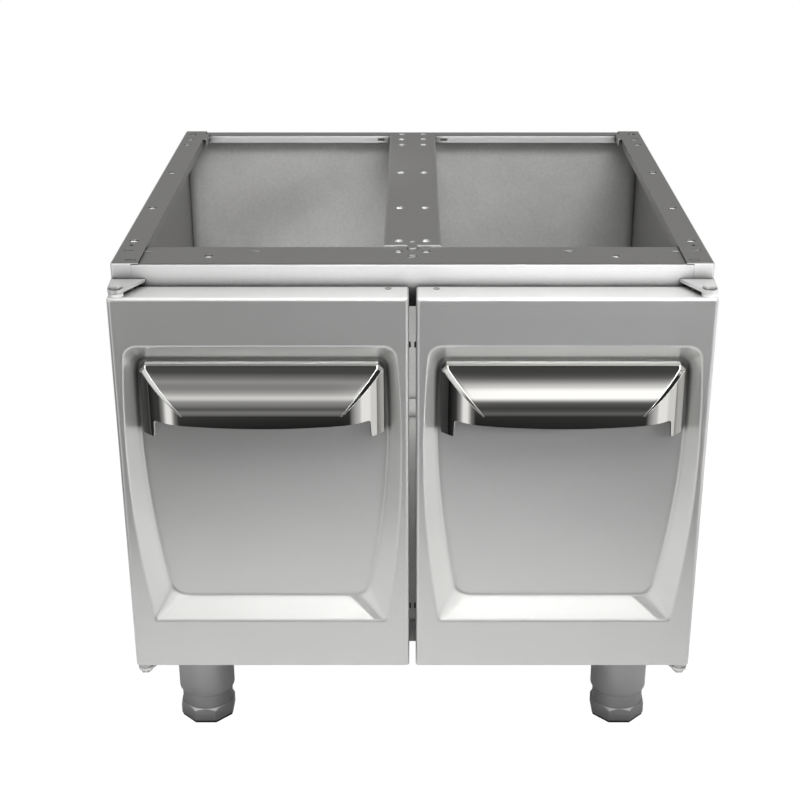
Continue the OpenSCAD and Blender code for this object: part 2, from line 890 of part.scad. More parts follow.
// Depth of the pressed wall at a share of its width: straight with a soft bend at each end
function wall_depth(s) =
    let (b = bend_share, k = 2 * b * (1 - b))
    s < b ? s * s / k : s > 1 - b ? 1 - (1 - s) * (1 - s) / k : (s - b / 2) / (1 - b);

// Body of the recess, lofted from its rim to its floor and running out in front of the door
module recess_form(g, deeper) {
    shares = [0, 0, bend_share / 2, bend_share, 1 - bend_share, 1 - bend_share / 2, 1];
    depths = [for (i = [0:len(shares) - 1])
        i == 0 ? -over : wall_depth(shares[i]) * (recess_d + deeper)];
    rings = [for (s = shares) full_outline(recess_outline(s, g))];
    n = len(rings[0]);
    m = len(rings);
    points = [for (j = [0:m - 1], p = rings[j]) [door_mid + p.x, door_front + depths[j], p.y]];
    sides = [for (j = [0:m - 2], i = [0:n - 1]) let (a = j * n + i, b = j * n + (i + 1) % n)
        each [[a, b + n, b], [a, a + n, b + n]]];
    polyhedron(
        points,
        concat(sides, [[for (i = [0:n - 1]) i]], [[for (i = [n - 1:-1:0]) (m - 1) * n + i]])
    );
}

// Outer skin of a door: a folded tray with the recess pressed into its face
module door_skin() {
    difference() {
        door_form(0);
        difference() {
            door_form(door_sheet);
            recess_form(0.4 * door_sheet, door_sheet);
        }
        recess_form(0, 0);
        bush_holes();
        liner_rivet_sites() cylinder(h = 12, d = liner_rivet_d, center = true);
        handle_rivet_sites() cylinder(h = 12, d = handle_rivet_d, center = true);
        buffer_sites() cylinder(h = 14, d = stem_d, center = true);
    }
}

// Inner panel of a door: a shallow tray inside the skin's folded edges
module door_liner() {
    in = door_sheet + fit;
    difference() {
        span([door_x0 + in, liner_y, door_z0 + in], [door_x1 - in, door_back, door_z1 - in]);
        span(
            [door_x0 + in + door_sheet, liner_y - over, door_z0 + in + door_sheet],
            [door_x1 - in - door_sheet, door_back - door_sheet, door_z1 - in - door_sheet]
        );
        liner_rivet_sites() cylinder(h = 12, d = liner_rivet_d, center = true);
        buffer_sites() cylinder(h = 14, d = stem_d, center = true);
    }
}

// Places of the rivets in a door's top and bottom edges, heads outwards
module liner_rivet_sites() {
    for (x = [door_x0 + rivet_inset, door_x1 - rivet_inset]) {
        translate([x, rivet_y, door_z1]) children();
        translate([x, rivet_y, door_z0]) mirror([0, 0, 1]) children();
    }
}

module liner_rivets() {
    grip = 2 * door_sheet + fit + 1.5;
    liner_rivet_sites() {
        translate([0, 0, -grip]) cylinder(h = grip, d = liner_rivet_d);
        cylinder(h = 1, d1 = 2 * liner_rivet_d, d2 = 1.4 * liner_rivet_d);
    }
}

// Places of the rubber buffers on a door's inner edge, heads towards the other door
module buffer_sites() {
    for (z = [door_z0 + buffer_inset, door_z1 - buffer_inset])
        translate([door_x0, buffer_y, z]) rotate([0, -90, 0]) children();
}

module door_buffers() {
    grip = 2 * door_sheet + fit + 2;
    buffer_sites() {
        translate([0, 0, -grip]) cylinder(h = grip, d = stem_d);
        cylinder(h = buffer_h, d1 = buffer_d, d2 = buffer_d - 1);
    }
}

// Plates that stiffen the door's corners round the bushes
module pivot_plates() {
    x1 = door_x1 - door_sheet - 2;
    y0 = door_front + plate_start;
    difference() {
        for (z = [door_z1 - door_sheet - plate_t, door_z0 + door_sheet])
            span([x1 - plate_w, y0, z], [x1, y0 + plate_d, z + plate_t]);
        bush_holes();
    }
}

// Strike plate on the back of a door, facing the magnet catch
module strike_plate() {
    span(
        [catch_x - catch_l / 2 + 4, door_back, rail_low - catch_h + 1],
        [catch_x + catch_l / 2 - 4, door_back + strike_t, rail_low - 1]
    );
}

// Points of a roll from the handle's front to its flat top or end, as [along, out]: an arc that
// leaves the front tangentially, drawn inside the sheet where a wall is given
function roll(length, wall) =
    let (
        rise = handle_out - handle_shelf,
        r = (length * length + rise * rise) / (2 * rise),
        turn = asin((length - wall) / (r - wall)),
        steps = 14
    )
    [for (i = [0:steps]) let (a = turn * i / steps)
        [(r - wall) * sin(a), (r - wall) * cos(a) + handle_out - r]];

// Solid form of the handle hood: the roll of its top and the rolls of its ends meet in
// mitres, because each point lies under the lower of the two
module hood_form(wall) {
    behind = wall > 0 ? over : 0;
    low = lug_z - behind;
    level = handle_z1 - roll_h;
    end = half_l - roll_l;
    top = roll(roll_h, wall);
    side = roll(roll_l, wall);
    intersection() {
        translate([door_mid - half_l, 0, 0]) along_x(handle_l) polygon(concat(
            [[recess_y + behind, low], [recess_y - handle_out + wall, low]],
            [for (p = top) [recess_y - p.y, level + p.x]],
            [[recess_y + behind, handle_z1 - wall]]
        ));
        translate([door_mid, 0, low]) linear_extrude(handle_z1 - low) polygon(concat(
            [[wall - half_l, recess_y + behind]],
            [for (i = [len(side) - 1:-1:0]) [-end - side[i].x, recess_y - side[i].y]],
            [for (p = side) [end + p.x, recess_y - p.y]],
            [[half_l - wall, recess_y + behind]]
        ));
    }
}

// Front outline of the handle: a lower edge that sags in the middle, and two end lugs that
// meet it in fillets
module hood_front() {
    span_x = half_l - lug_w;
    edge_r = (span_x * span_x + edge_rise * edge_rise) / (2 * edge_rise);
    fillet_x = span_x - lug_fillet;
    fillet_z = handle_z0 + edge_r - sqrt(edge_r * edge_r - fillet_x * fillet_x) - lug_fillet;
    difference() {
        union() {
            intersection() {
                translate([0, handle_z0 + edge_r]) circle(edge_r, $fn = 360);
                translate([-half_l, handle_z1]) mirror([0, 1])
                    soft_front(handle_l, handle_h, handle_corner_r);
            }
            for (s = [-1, 1]) translate([s * (half_l - lug_w / 2) - lug_w / 2, lug_z])
                square([lug_w, handle_z1 - lug_z - roll_h]);
            for (s = [-1, 1]) translate([s * (span_x - lug_fillet / 2) - lug_fillet / 2, fillet_z])
                square([lug_fillet, lug_fillet + edge_rise]);
        }
        for (s = [-1, 1]) translate([s * fillet_x, fillet_z]) circle(lug_fillet);
    }
}

// Handle: a polished sheet hood with a fixing flange along its top and down its ends
module handle() {
    t = handle_sheet;
    end_in = half_l - flange_w;
    difference() {
        intersection() {
            union() {
                difference() {
                    hood_form(0);
                    hood_form(t);
                }
                // Flanges that lie on the floor of the recess
                intersection() {
                    hood_form(0);
                    difference() {
                        span(
                            [door_mid - half_l, recess_y - t, lug_z],
                            [door_mid + half_l, recess_y, handle_z1]
                        );
                        span(
                            [door_mid - end_in, recess_y - t - over, lug_z - over],
                            [door_mid + end_in, recess_y + over, handle_z1 - flange_w]
                        );
                    }
                }
            }
            translate([door_mid, recess_y - handle_out - over, 0])
                along_y(handle_out + 2 * over) hood_front();
        }
        mitre_slits();
        handle_rivet_sites() cylinder(h = 12, d = handle_rivet_d, center = true);
    }
}

// Open joints of the mitres: wedges that are widest at the recess and close at the front
module mitre_slits() {
    for (s = [-1, 1]) {
        corner = [door_mid + s * half_l, handle_z1];
        tip = [door_mid + s * (half_l - roll_l), handle_z1 - roll_h];
        away = (tip - corner) / norm(tip - corner);
        across = mitre_slit / 2 * [-away.y, away.x];
        translate([0, recess_y - handle_out - over, 0]) along_y(handle_out - 2 * handle_sheet)
            polygon([corner - 2 * away + across, corner - 2 * away - across, tip - 12 * away]);
    }
}

// Places of the handle's rivets in its end flanges, heads towards the front
module handle_rivet_sites() {
    for (s = [-1, 1], z = handle_rivet_zs)
        translate([door_mid + s * handle_rivet_x, recess_y, z]) rotate([90, 0, 0]) children();
}

module handle_rivets() {
    tail = door_sheet + 2;
    handle_rivet_sites() {
        translate([0, 0, -tail]) cylinder(h = tail + handle_sheet, d = handle_rivet_d);
        translate([0, 0, handle_sheet])
            cylinder(h = 1.2, d1 = 1.75 * handle_rivet_d, d2 = 1.25 * handle_rivet_d);
    }
}

// One side of the cabinet: the pieces are drawn for the right, and mirrored for the left
module on_side(side, tint) {
    color(tint) mirror([side == "left" ? 1 : 0, 0, 0]) children();
}

on_side("left", STEEL) side_panel();  // side_panel_left
on_side("right", STEEL) side_panel();  // side_panel_right
back_panel();
floor_pan();
front_rail();
rear_rail();
center_rail();
leg_channel(leg_ys[0]);  // leg_channel_front
leg_channel(leg_ys[1]);  // leg_channel_rear
leg_sleeve(-leg_x, leg_ys[0]);  // leg_sleeve_front_left
leg_sleeve(leg_x, leg_ys[0]);  // leg_sleeve_front_right
leg_sleeve(-leg_x, leg_ys[1]);  // leg_sleeve_rear_left
leg_sleeve(leg_x, leg_ys[1]);  // leg_sleeve_rear_right
leg_bolts();
foot(-leg_x, leg_ys[0]);  // foot_front_left
foot(leg_x, leg_ys[0]);  // foot_front_right
foot(-leg_x, leg_ys[1]);  // foot_rear_left
foot(leg_x, leg_ys[1]);  // foot_rear_right
foot_pad(-leg_x, leg_ys[0]);  // foot_pad_front_left
foot_pad(leg_x, leg_ys[0]);  // foot_pad_front_right
foot_pad(-leg_x, leg_ys[1]);  // foot_pad_rear_left
foot_pad(leg_x, leg_ys[1]);  // foot_pad_rear_right
on_side("left", BRIGHT) upper_bracket();  // hinge_bracket_upper_left
on_side("right", BRIGHT) upper_bracket();  // hinge_bracket_upper_right
on_side("left", BRIGHT) lower_bracket();  // hinge_bracket_lower_left
on_side("right", BRIGHT) lower_bracket();  // hinge_bracket_lower_right
on_side("left", ZINC) upper_pin();  // hinge_pin_upper_left
on_side("right", ZINC) upper_pin();  // hinge_pin_upper_right
on_side("left", ZINC) lower_pin();  // hinge_pin_lower_left
on_side("right", ZINC) lower_pin();  // hinge_pin_lower_right
bracket_screws();
on_side("left", BLACK) magnet_catch();  // magnet_catch_left
on_side("right", BLACK) magnet_catch();  // magnet_catch_right
on_side("left", BRIGHT) door_skin();  // door_skin_left
on_side("right", BRIGHT) door_skin();  // door_skin_right
on_side("left", STEEL) door_liner();  // door_liner_left
on_side("right", STEEL) door_liner();  // door_liner_right
on_side("left", CHROME) handle();  // handle_left
on_side("right", CHROME) handle();  // handle_right
on_side("left", ZINC) handle_rivets();  // handle_rivets_left
on_side("right", ZINC) handle_rivets();  // handle_rivets_right
on_side("left", ZINC) liner_rivets();  // liner_rivets_left
on_side("right", ZINC) liner_rivets();  // liner_rivets_right
on_side("left", ZINC) pivot_plates();  // pivot_plates_left
on_side("right", ZINC) pivot_plates();  // pivot_plates_right
on_side("left", NYLON) upper_bush();  // hinge_bush_upper_left
on_side("right", NYLON) upper_bush();  // hinge_bush_upper_right
on_side("left", NYLON) lower_bush();  // hinge_bush_lower_left
on_side("right", NYLON) lower_bush();  // hinge_bush_lower_right
on_side("left", ZINC) strike_plate();  // strike_plate_left
on_side("right", ZINC) strike_plate();  // strike_plate_right
on_side("left", BLACK) door_buffers();  // door_buffers_left
on_side("right", BLACK) door_buffers();  // door_buffers_right
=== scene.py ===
"""Looks of a stainless kitchen base cabinet: two pressed doors with mirror-polished hood handles,
an open perforated top frame and four levelling legs. Metres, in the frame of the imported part."""
import math

import bpy
import numpy as np
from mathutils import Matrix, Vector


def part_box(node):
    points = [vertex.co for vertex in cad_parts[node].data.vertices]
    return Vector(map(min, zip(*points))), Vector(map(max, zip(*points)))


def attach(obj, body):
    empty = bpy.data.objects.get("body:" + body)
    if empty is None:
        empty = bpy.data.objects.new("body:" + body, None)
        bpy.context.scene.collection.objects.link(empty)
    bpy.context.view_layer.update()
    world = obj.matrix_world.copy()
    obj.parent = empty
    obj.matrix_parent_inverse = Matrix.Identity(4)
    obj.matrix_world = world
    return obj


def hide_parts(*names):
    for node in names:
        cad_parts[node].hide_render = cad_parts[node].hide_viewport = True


bl_info = {
    "name": "Kitchen base cabinet",
    "version": (1, 0, 0),
    "blender": (4, 5, 0),
    "location": "View3D > Sidebar > Cabinet",
    "description": "Builds the visible surfaces of a stainless kitchen base cabinet and its stage",
    "category": "Object",
}

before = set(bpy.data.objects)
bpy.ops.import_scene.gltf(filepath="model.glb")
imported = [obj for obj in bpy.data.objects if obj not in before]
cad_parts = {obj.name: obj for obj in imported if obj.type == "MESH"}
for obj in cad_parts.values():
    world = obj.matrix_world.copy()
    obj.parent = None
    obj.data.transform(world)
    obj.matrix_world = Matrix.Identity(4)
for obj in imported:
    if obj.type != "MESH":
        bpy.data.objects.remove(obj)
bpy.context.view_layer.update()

MM = 0.001
SIDES = ("left", "right")
LEGS = ("front_left", "front_right", "rear_left", "rear_right")
# Directions of the points round a leg, a foot or the floor, and sides of a foot
ROUND = np.linspace(0, 2 * math.pi, 96, endpoint=False)
FOOT_SIDES = 8
# Points along a door outline's half edge, round its corner and down its side
EDGE_POINTS, CORNER_POINTS, SIDE_POINTS = 15, 10, 40
# Rows of faces of a door's skin round its folds, and across its front up to the recess
FOLD_ROWS, FRONT_ROWS = 12, 6
# Points of a handle's half row down its leg and along its bridge, and rows of its roll
LEG_POINTS, BRIDGE_POINTS, ROLL_ROWS = 30, 24, 44


def hex_linear(text):
    """Turns an sRGB hex colour into linear red, green and blue."""
    channels = np.array([int(text[i:i + 2], 16) for i in (1, 3, 5)]) / 255
    linear = np.where(channels <= 0.04045, channels / 12.92, ((channels + 0.055) / 1.055) ** 2.4)
    return tuple(float(c) for c in linear)


def length(name, description, millimetres):
    """A length property in metres, with its default given in millimetres."""
    return bpy.props.FloatProperty(
        name=name, description=description, default=millimetres * MM, min=0, unit="LENGTH"
    )


def colour(name, description, text):
    """A colour property, with its default given as an sRGB hex value."""
    return bpy.props.FloatVectorProperty(
        name=name, description=description, default=hex_linear(text), size=3, min=0, max=1,
        subtype="COLOR",
    )


class CabinetDoorSizes(bpy.types.PropertyGroup):
    """Sizes of the pressed doors"""
    sheet: length("Sheet", "Thickness of the door's sheet", 1.2)
    fold: length("Fold radius", "Outer radius of the upright front folds", 4)
    edge: length("Edge radius", "Outer radius of the top and bottom front folds", 3)
    corner: length("Corner radius", "Radius of the door's corners seen from the front", 2.5)
    depth: length("Recess depth", "Depth of the pressed recess", 19)
    top: length("Top margin", "Distance from the door's top edge to the recess", 48)
    bottom: length("Bottom margin", "Distance from the door's bottom edge to the recess", 56)
    side: length("Side margin", "Distance from the door's sides to the recess", 12.5)
    taper: length("Taper", "How much narrower the recess is at the bottom, each side", 10)
    bow: length("Bow", "How far the recess's sides bow outwards", 10)
    wall_rise: length("Level wall", "Height of the sloping wall above and below", 24)
    wall_side: length("Side wall", "Width of the sloping side wall at the top", 12)
    floor_taper: length("Floor taper", "How much further the floor narrows downwards", 12)
    top_radius: length("Top radius", "Corner radius at the top of the rim", 14)
    floor_top_radius: length("Floor top radius", "Corner radius at the top of the floor", 8)
    rim_radius: length("Rim radius", "Corner radius at the bottom of the rim", 3)
    floor_radius: length("Floor radius", "Corner radius at the bottom of the floor", 19)
    bend: bpy.props.FloatProperty(
        name="Bend share", description="Share of the wall taken by each of its bends",
        default=0.16, min=0.02, max=0.45,
    )


class CabinetHandleSizes(bpy.types.PropertyGroup):
    """Sizes of the hood handles"""
    sheet: length("Sheet", "Thickness of the handle's sheet", 1.5)
    gap: length("Gap", "Distance from the edges of the recess's floor to the handle", 1)
    height: length("Height", "Height of the handle in the middle", 62)
    proud: length("Proud", "How far the handle stands out in front of the door", 10)
    roll_height: length("Top roll", "Height over which the top rolls forwards", 48)
    roll_length: length("End roll", "Length over which the ends roll forwards", 42)
    edge_rise: length("Edge rise", "Rise of the curved lower edge towards the ends", 6.5)
    lug_drop: length("Lug drop", "How far the end lugs reach below the edge", 12)
    lug_width: length("Lug width", "Width of an end lug", 13)
    flange: length("Flange", "Width of the fixing flange on the door", 14)
    mitre: length("Mitre", "Width of the open mitre joint at the handle's corner", 4)
    mitre_end: length("Mitre end", "Width of the mitre joint at its front end", 0.8)
    shelf: length("Flat top", "Depth of the handle's flat top and ends", 8)
    fillet: length("Fillet", "Radius between the lower edge and the lugs", 3)


class CabinetColours(bpy.types.PropertyGroup):
    """Colours of the materials"""
    frame_steel: colour("Frame steel", "Mill-finished sheet of the body", "#ACABA9")
    # Painted light: this pale colour brightens the body's faces that look forwards and the feet's cone
    face_steel: colour("Face steel", "Ground faces that look forwards", "#EEEEEE")
    # Painted shade: this darker colour goes on the inner sheet's faces that lie level
    floor_steel: colour("Floor steel", "Level sheet inside the body", "#A9A9A7")
    inner_steel: colour("Inner steel", "Sheet inside the body", "#CACAC8")
    door_steel: colour("Door steel", "Finely ground sheet of the doors", "#D6D6D5")
    mirror_steel: colour("Mirror steel", "Polished sheet of the handles", "#E5E4E1")
    leg_metal: colour("Leg metal", "Satin alloy of the legs", "#A8A8A8")
    zinc: colour("Zinc", "Zinc plate on pins, screws and plates", "#DADAD9")
    rubber: colour("Rubber", "Pads and buffers", "#1B1B1B")
    nylon: colour("Nylon", "Hinge bushes", "#C9C9C8")
    catch: colour("Catch", "Moulded case of the magnet catches", "#202022")
    # Satin white of the cut edges, which also paints a highlight on the handles' flat tops
    edge_steel: colour("Edge steel", "Cut edges of the handles", "#DCDCDA")
    # Painted light: this paler, more matt colour goes on the doors' faces that turn up or sideways
    fold_steel: colour("Fold steel", "Paler faces of the doors that turn up or sideways", "#D8D8D6")
    # Painted reflection: this dark colour goes on the handles' faces that turn to the left
    haze_steel: colour("Hazed steel", "Duller ends of the handles on the left", "#4A4A4A")
    # Painted shade: this dark colour goes on the faces inside the handles' mitre joints
    joint_steel: colour("Joint steel", "Unpolished faces in the handles' joints", "#3C3C3C")
    # Painted shade: the feet's grey is darker than the legs' to stand for the shade under the body
    foot_metal: colour("Foot metal", "Cast metal of the levelling feet", "#949494")


class CabinetStage(bpy.types.PropertyGroup):
    """Camera and lights"""
    lens: bpy.props.FloatProperty(
        name="Lens", description="Focal length of the camera in millimetres", default=68.33,
        min=10, subtype="DISTANCE_CAMERA",
    )
    camera_place: bpy.props.FloatVectorProperty(
        name="Camera", description="Place of the camera", default=(0, -1.687, 1.0738), size=3,
        subtype="TRANSLATION", unit="LENGTH",
    )
    camera_tilt: bpy.props.FloatProperty(
        name="Tilt", description="How far the camera looks down", default=math.radians(23.45),
        unit="ROTATION",
    )
    shift: bpy.props.FloatProperty(
        name="Shift", description="Sideways shift of the frame", default=-0.0156, min=-1, max=1,
    )
    floor_radius: length("Floor radius", "Radius of the round floor", 950)


def mix(a, b, share):
    """Value between a and b at a share from 0 to 1."""
    return a + (b - a) * share


def corner(x, z, radius, lean, up):
    """Arc that touches a level edge and a side leaning by lean, from the edge to the side; up is
    1 at the top and -1 at the bottom."""
    centre = np.array([x + radius * math.tan(lean) - radius / math.cos(lean), z - up * radius])
    turn = np.linspace(math.pi / 2, lean, CORNER_POINTS)
    return centre + radius * np.stack([np.cos(turn), up * np.sin(turn)], 1)


def outline(top, low, half_top, half_low, bow, top_radius, low_radius):
    """Closed outline in x and z, clockwise from the top's middle: level top and bottom edges,
    round corners, and sides that lean straight from top to bottom plus a parabola of height bow."""
    height = top - low
    lean_top = math.atan((half_low - half_top + 4 * bow) / height)
    lean_low = math.atan((half_top - half_low + 4 * bow) / height)
    upper = corner(half_top, top, top_radius, lean_top, 1)
    lower = corner(half_low, low, low_radius, lean_low, -1)[::-1]
    first = top_radius * (1 - math.sin(lean_top)) / height
    last = 1 - low_radius * (1 - math.sin(lean_low)) / height
    u = np.linspace(first, last, SIDE_POINTS + 2)[1:-1]
    side = np.stack([mix(half_top, half_low, u) + 4 * bow * u * (1 - u), mix(top, low, u)], 1)
    edge = np.linspace(0, 1, EDGE_POINTS + 1)[:-1, None]
    level = edge * np.array([upper[0, 0], 0]) + np.array([0, top])
    base = edge[::-1] * np.array([lower[-1, 0], 0]) + np.array([0, low])
    half = np.concatenate([level, upper, side, lower, base])
    other = half[-2:0:-1] * np.array([-1, 1])
    return np.concatenate([half, other])


def wall_depth(share, bend):
    """Depth of the pressed wall from 0 to 1: straight, with a parabolic bend at each end."""
    k = 2 * bend * (1 - bend)
    middle = (share - bend / 2) / (1 - bend)
    return np.where(share < bend, share ** 2 / k,
                    np.where(share > 1 - bend, 1 - (1 - share) ** 2 / k, middle))


def grid_faces(rows, columns, closed):
    """Four-sided faces of a grid of points, as rows of indices; closed joins its last column
    to its first."""
    around = columns if closed else columns - 1
    i, j = np.meshgrid(np.arange(rows - 1), np.arange(around), indexing="ij")
    k = (j + 1) % columns
    faces = np.stack([i * columns + j, i * columns + k, (i + 1) * columns + k, (i + 1) * columns + j])
    return faces.reshape(4, -1).T


def make_mesh(name, points, faces, material, smooth=True):
    """A mesh object from arrays of points and of faces, with its place in its mesh."""
    mesh = bpy.data.meshes.new(name)
    mesh.from_pydata(np.asarray(points, float).tolist(), [], [list(f) for f in faces])
    mesh.polygons.foreach_set("use_smooth", np.full(len(mesh.polygons), smooth))
    mesh.materials.append(material)
    mesh.update()
    piece = bpy.data.objects.new(name, mesh)
    bpy.context.scene.collection.objects.link(piece)
    return piece


def weld(piece, distance=2e-5):
    """Merges doubled points, before the sheet gets its thickness."""
    modifier = piece.modifiers.new("weld", "WELD")
    modifier.merge_threshold = distance
    apply_modifiers(piece)


def apply_modifiers(piece):
    """Replaces the piece's mesh by its finished one, so no modifier is left live."""
    bpy.context.view_layer.update()
    depsgraph = bpy.context.evaluated_depsgraph_get()
    finished = bpy.data.meshes.new_from_object(piece.evaluated_get(depsgraph))
    piece.modifiers.clear()
    piece.data = finished


def thicken(piece, thickness):
    """Gives a sheet its thickness, behind its outer face."""
    modifier = piece.modifiers.new("sheet", "SOLIDIFY")
    modifier.thickness = thickness
    modifier.offset = -1
    modifier.use_even_offset = True
    apply_modifiers(piece)
    sharpen(piece)


def sharpen(piece, degrees=35):
    """Shades across edges flatter than the angle, and keeps the others sharp."""
    piece.data.set_sharp_from_angle(angle=math.radians(degrees))


def loft(rings):
    """Points and faces of a skin over rings of equal count, with flat caps at both ends."""
    rings = np.asarray(rings)
    count, around, _ = rings.shape
    faces = [tuple(f) for f in grid_faces(count, around, True).tolist()]
    faces.append(tuple(range(around - 1, -1, -1)))
    faces.append(tuple(range((count - 1) * around, count * around)))
    return rings.reshape(-1, 3), faces


def ring(radius, height, turn=ROUND):
    """Points round z at a radius and a height, each one value or one for every direction."""
    return np.stack(np.broadcast_arrays(radius * np.cos(turn), radius * np.sin(turn), height), 1)


def lathe(profile, around):
    """Solid turned about z, from a profile of (radius, height) that runs from low to high."""
    turn = np.linspace(0, 2 * math.pi, around, endpoint=False)
    return loft([ring(radius, height, turn) for radius, height in profile])


def tube(profile, around=len(ROUND)):
    """Hollow solid turned about z: a closed profile of (radius, height) swept round a circle."""
    points, faces = lathe(profile, around)
    count = len(profile)
    last = (count - 1) * around
    i = np.arange(around)
    k = (i + 1) % around
    joint = np.stack([last + i, last + k, k, i], 1).tolist()
    return points, faces[:-2] + [tuple(f) for f in joint]


def prism_radius(sides, flats, start):
    """Radius of a regular polygon in each direction, from its width across flats; start is the
    direction of one of its corners."""
    sector = 2 * math.pi / sides
    return flats / 2 / np.cos((ROUND - start) % sector - sector / 2)


def chamfered(sides, flats, start, low, high, drop, inner, bevel, above):
    """Prism of a width across flats whose top is cut by a cone: the cone falls by drop from the
    inner radius to the corners. Rings above it, as (radius, height), carry a round neck on."""
    edge = prism_radius(sides, flats, start)
    corner_radius = flats / 2 / math.cos(math.pi / sides)

    def cone(radius):
        """Height of the cone at a radius."""
        return high - drop * (radius - inner) / (corner_radius - inner)

    rings = [ring(edge - bevel, low), ring(edge, low + bevel), ring(edge, cone(edge) - bevel / 2)]
    for share in (0, 0.35, 0.7, 1):
        radius = mix(edge - bevel / 2, inner, share)
        rings.append(ring(radius, cone(radius)))
    rings += [ring(radius, height) for radius, height in above]
    return loft(rings)


def placed(solid, origin, up=1):
    """A solid moved to its origin, and first turned upside down if up is -1."""
    points, faces = solid
    return points * np.array([1, up, up]) + np.array(origin, float), faces


def make_solid(name, solids, material):
    """One object from several solids."""
    points, faces, start = [], [], 0
    for some_points, some_faces in solids:
        points.append(some_points)
        faces += [tuple(i + start for i in face) for face in some_faces]
        start += len(some_points)
    piece = make_mesh(name, np.concatenate(points), faces, material)
    sharpen(piece)
    return piece


def node(tree, kind, settings=None, links=None):
    """Adds a shader node, sets its named properties and inputs, and links its inputs."""
    added = tree.nodes.new(kind)
    for key, value in (settings or {}).items():
        if isinstance(key, int) or key in added.inputs:
            added.inputs[key].default_value = value
        else:
            setattr(added, key, value)
    for key, socket in (links or {}).items():
        tree.links.new(socket, added.inputs[key])
    return added


def ramp(tree, socket, stops):
    """A colour ramp of greys or colours: stops are (place, value or colour)."""
    added = node(tree, "ShaderNodeValToRGB", links={"Fac": socket})
    elements = added.color_ramp.elements
    while len(elements) < len(stops):
        elements.new(0.5)
    for element, (place, value) in zip(elements, stops):
        element.position = place
        element.color = (*value, 1) if isinstance(value, tuple) else (value, value, value, 1)
    return added.outputs["Color"]


def map_range(tree, value, low, high, to=(0, 1), smooth=False):
    """Carries a value from the range low to high over to another, straight or with soft ends."""
    settings = {"From Min": low, "From Max": high, "To Min": to[0], "To Max": to[1]}
    if smooth:
        settings["interpolation_type"] = "SMOOTHSTEP"
    return node(tree, "ShaderNodeMapRange", settings, {"Value": value}).outputs[0]


def mix_colours(tree, share, first, second):
    """Colour between two others, by a share from 0 to 1."""
    return node(tree, "ShaderNodeMix", {"data_type": "RGBA"}, {0: share, 6: first, 7: second}).outputs[2]


def show_apart(tree, share, others, camera, output):
    """Shows the camera one shader, as far as share says, and everything else the other."""
    blended = node(tree, "ShaderNodeMixShader", None, {0: share, 1: others, 2: camera})
    tree.links.new(blended.outputs[0], tree.nodes[output].inputs["Surface"])


def start_material(name):
    """A node material, its tree and its Principled shader."""
    material = bpy.data.materials.new(name)
    material.use_nodes = True
    shader = material.node_tree.nodes["Principled BSDF"]
    return material, material.node_tree, shader


# All finishes: share of the soft clouds, swing of the roughness, height of the grain in metres,
# rays of a crease's painted shade or of a rounded edge, and openness from the darkest painted shade to
# none
CLOUD_SHARE, ROUGHNESS_SWING, RELIEF = 0.4, 0.04, 0.0004
SHADING_SAMPLES, CREASE_RANGE = 6, (0.45, 0.95)


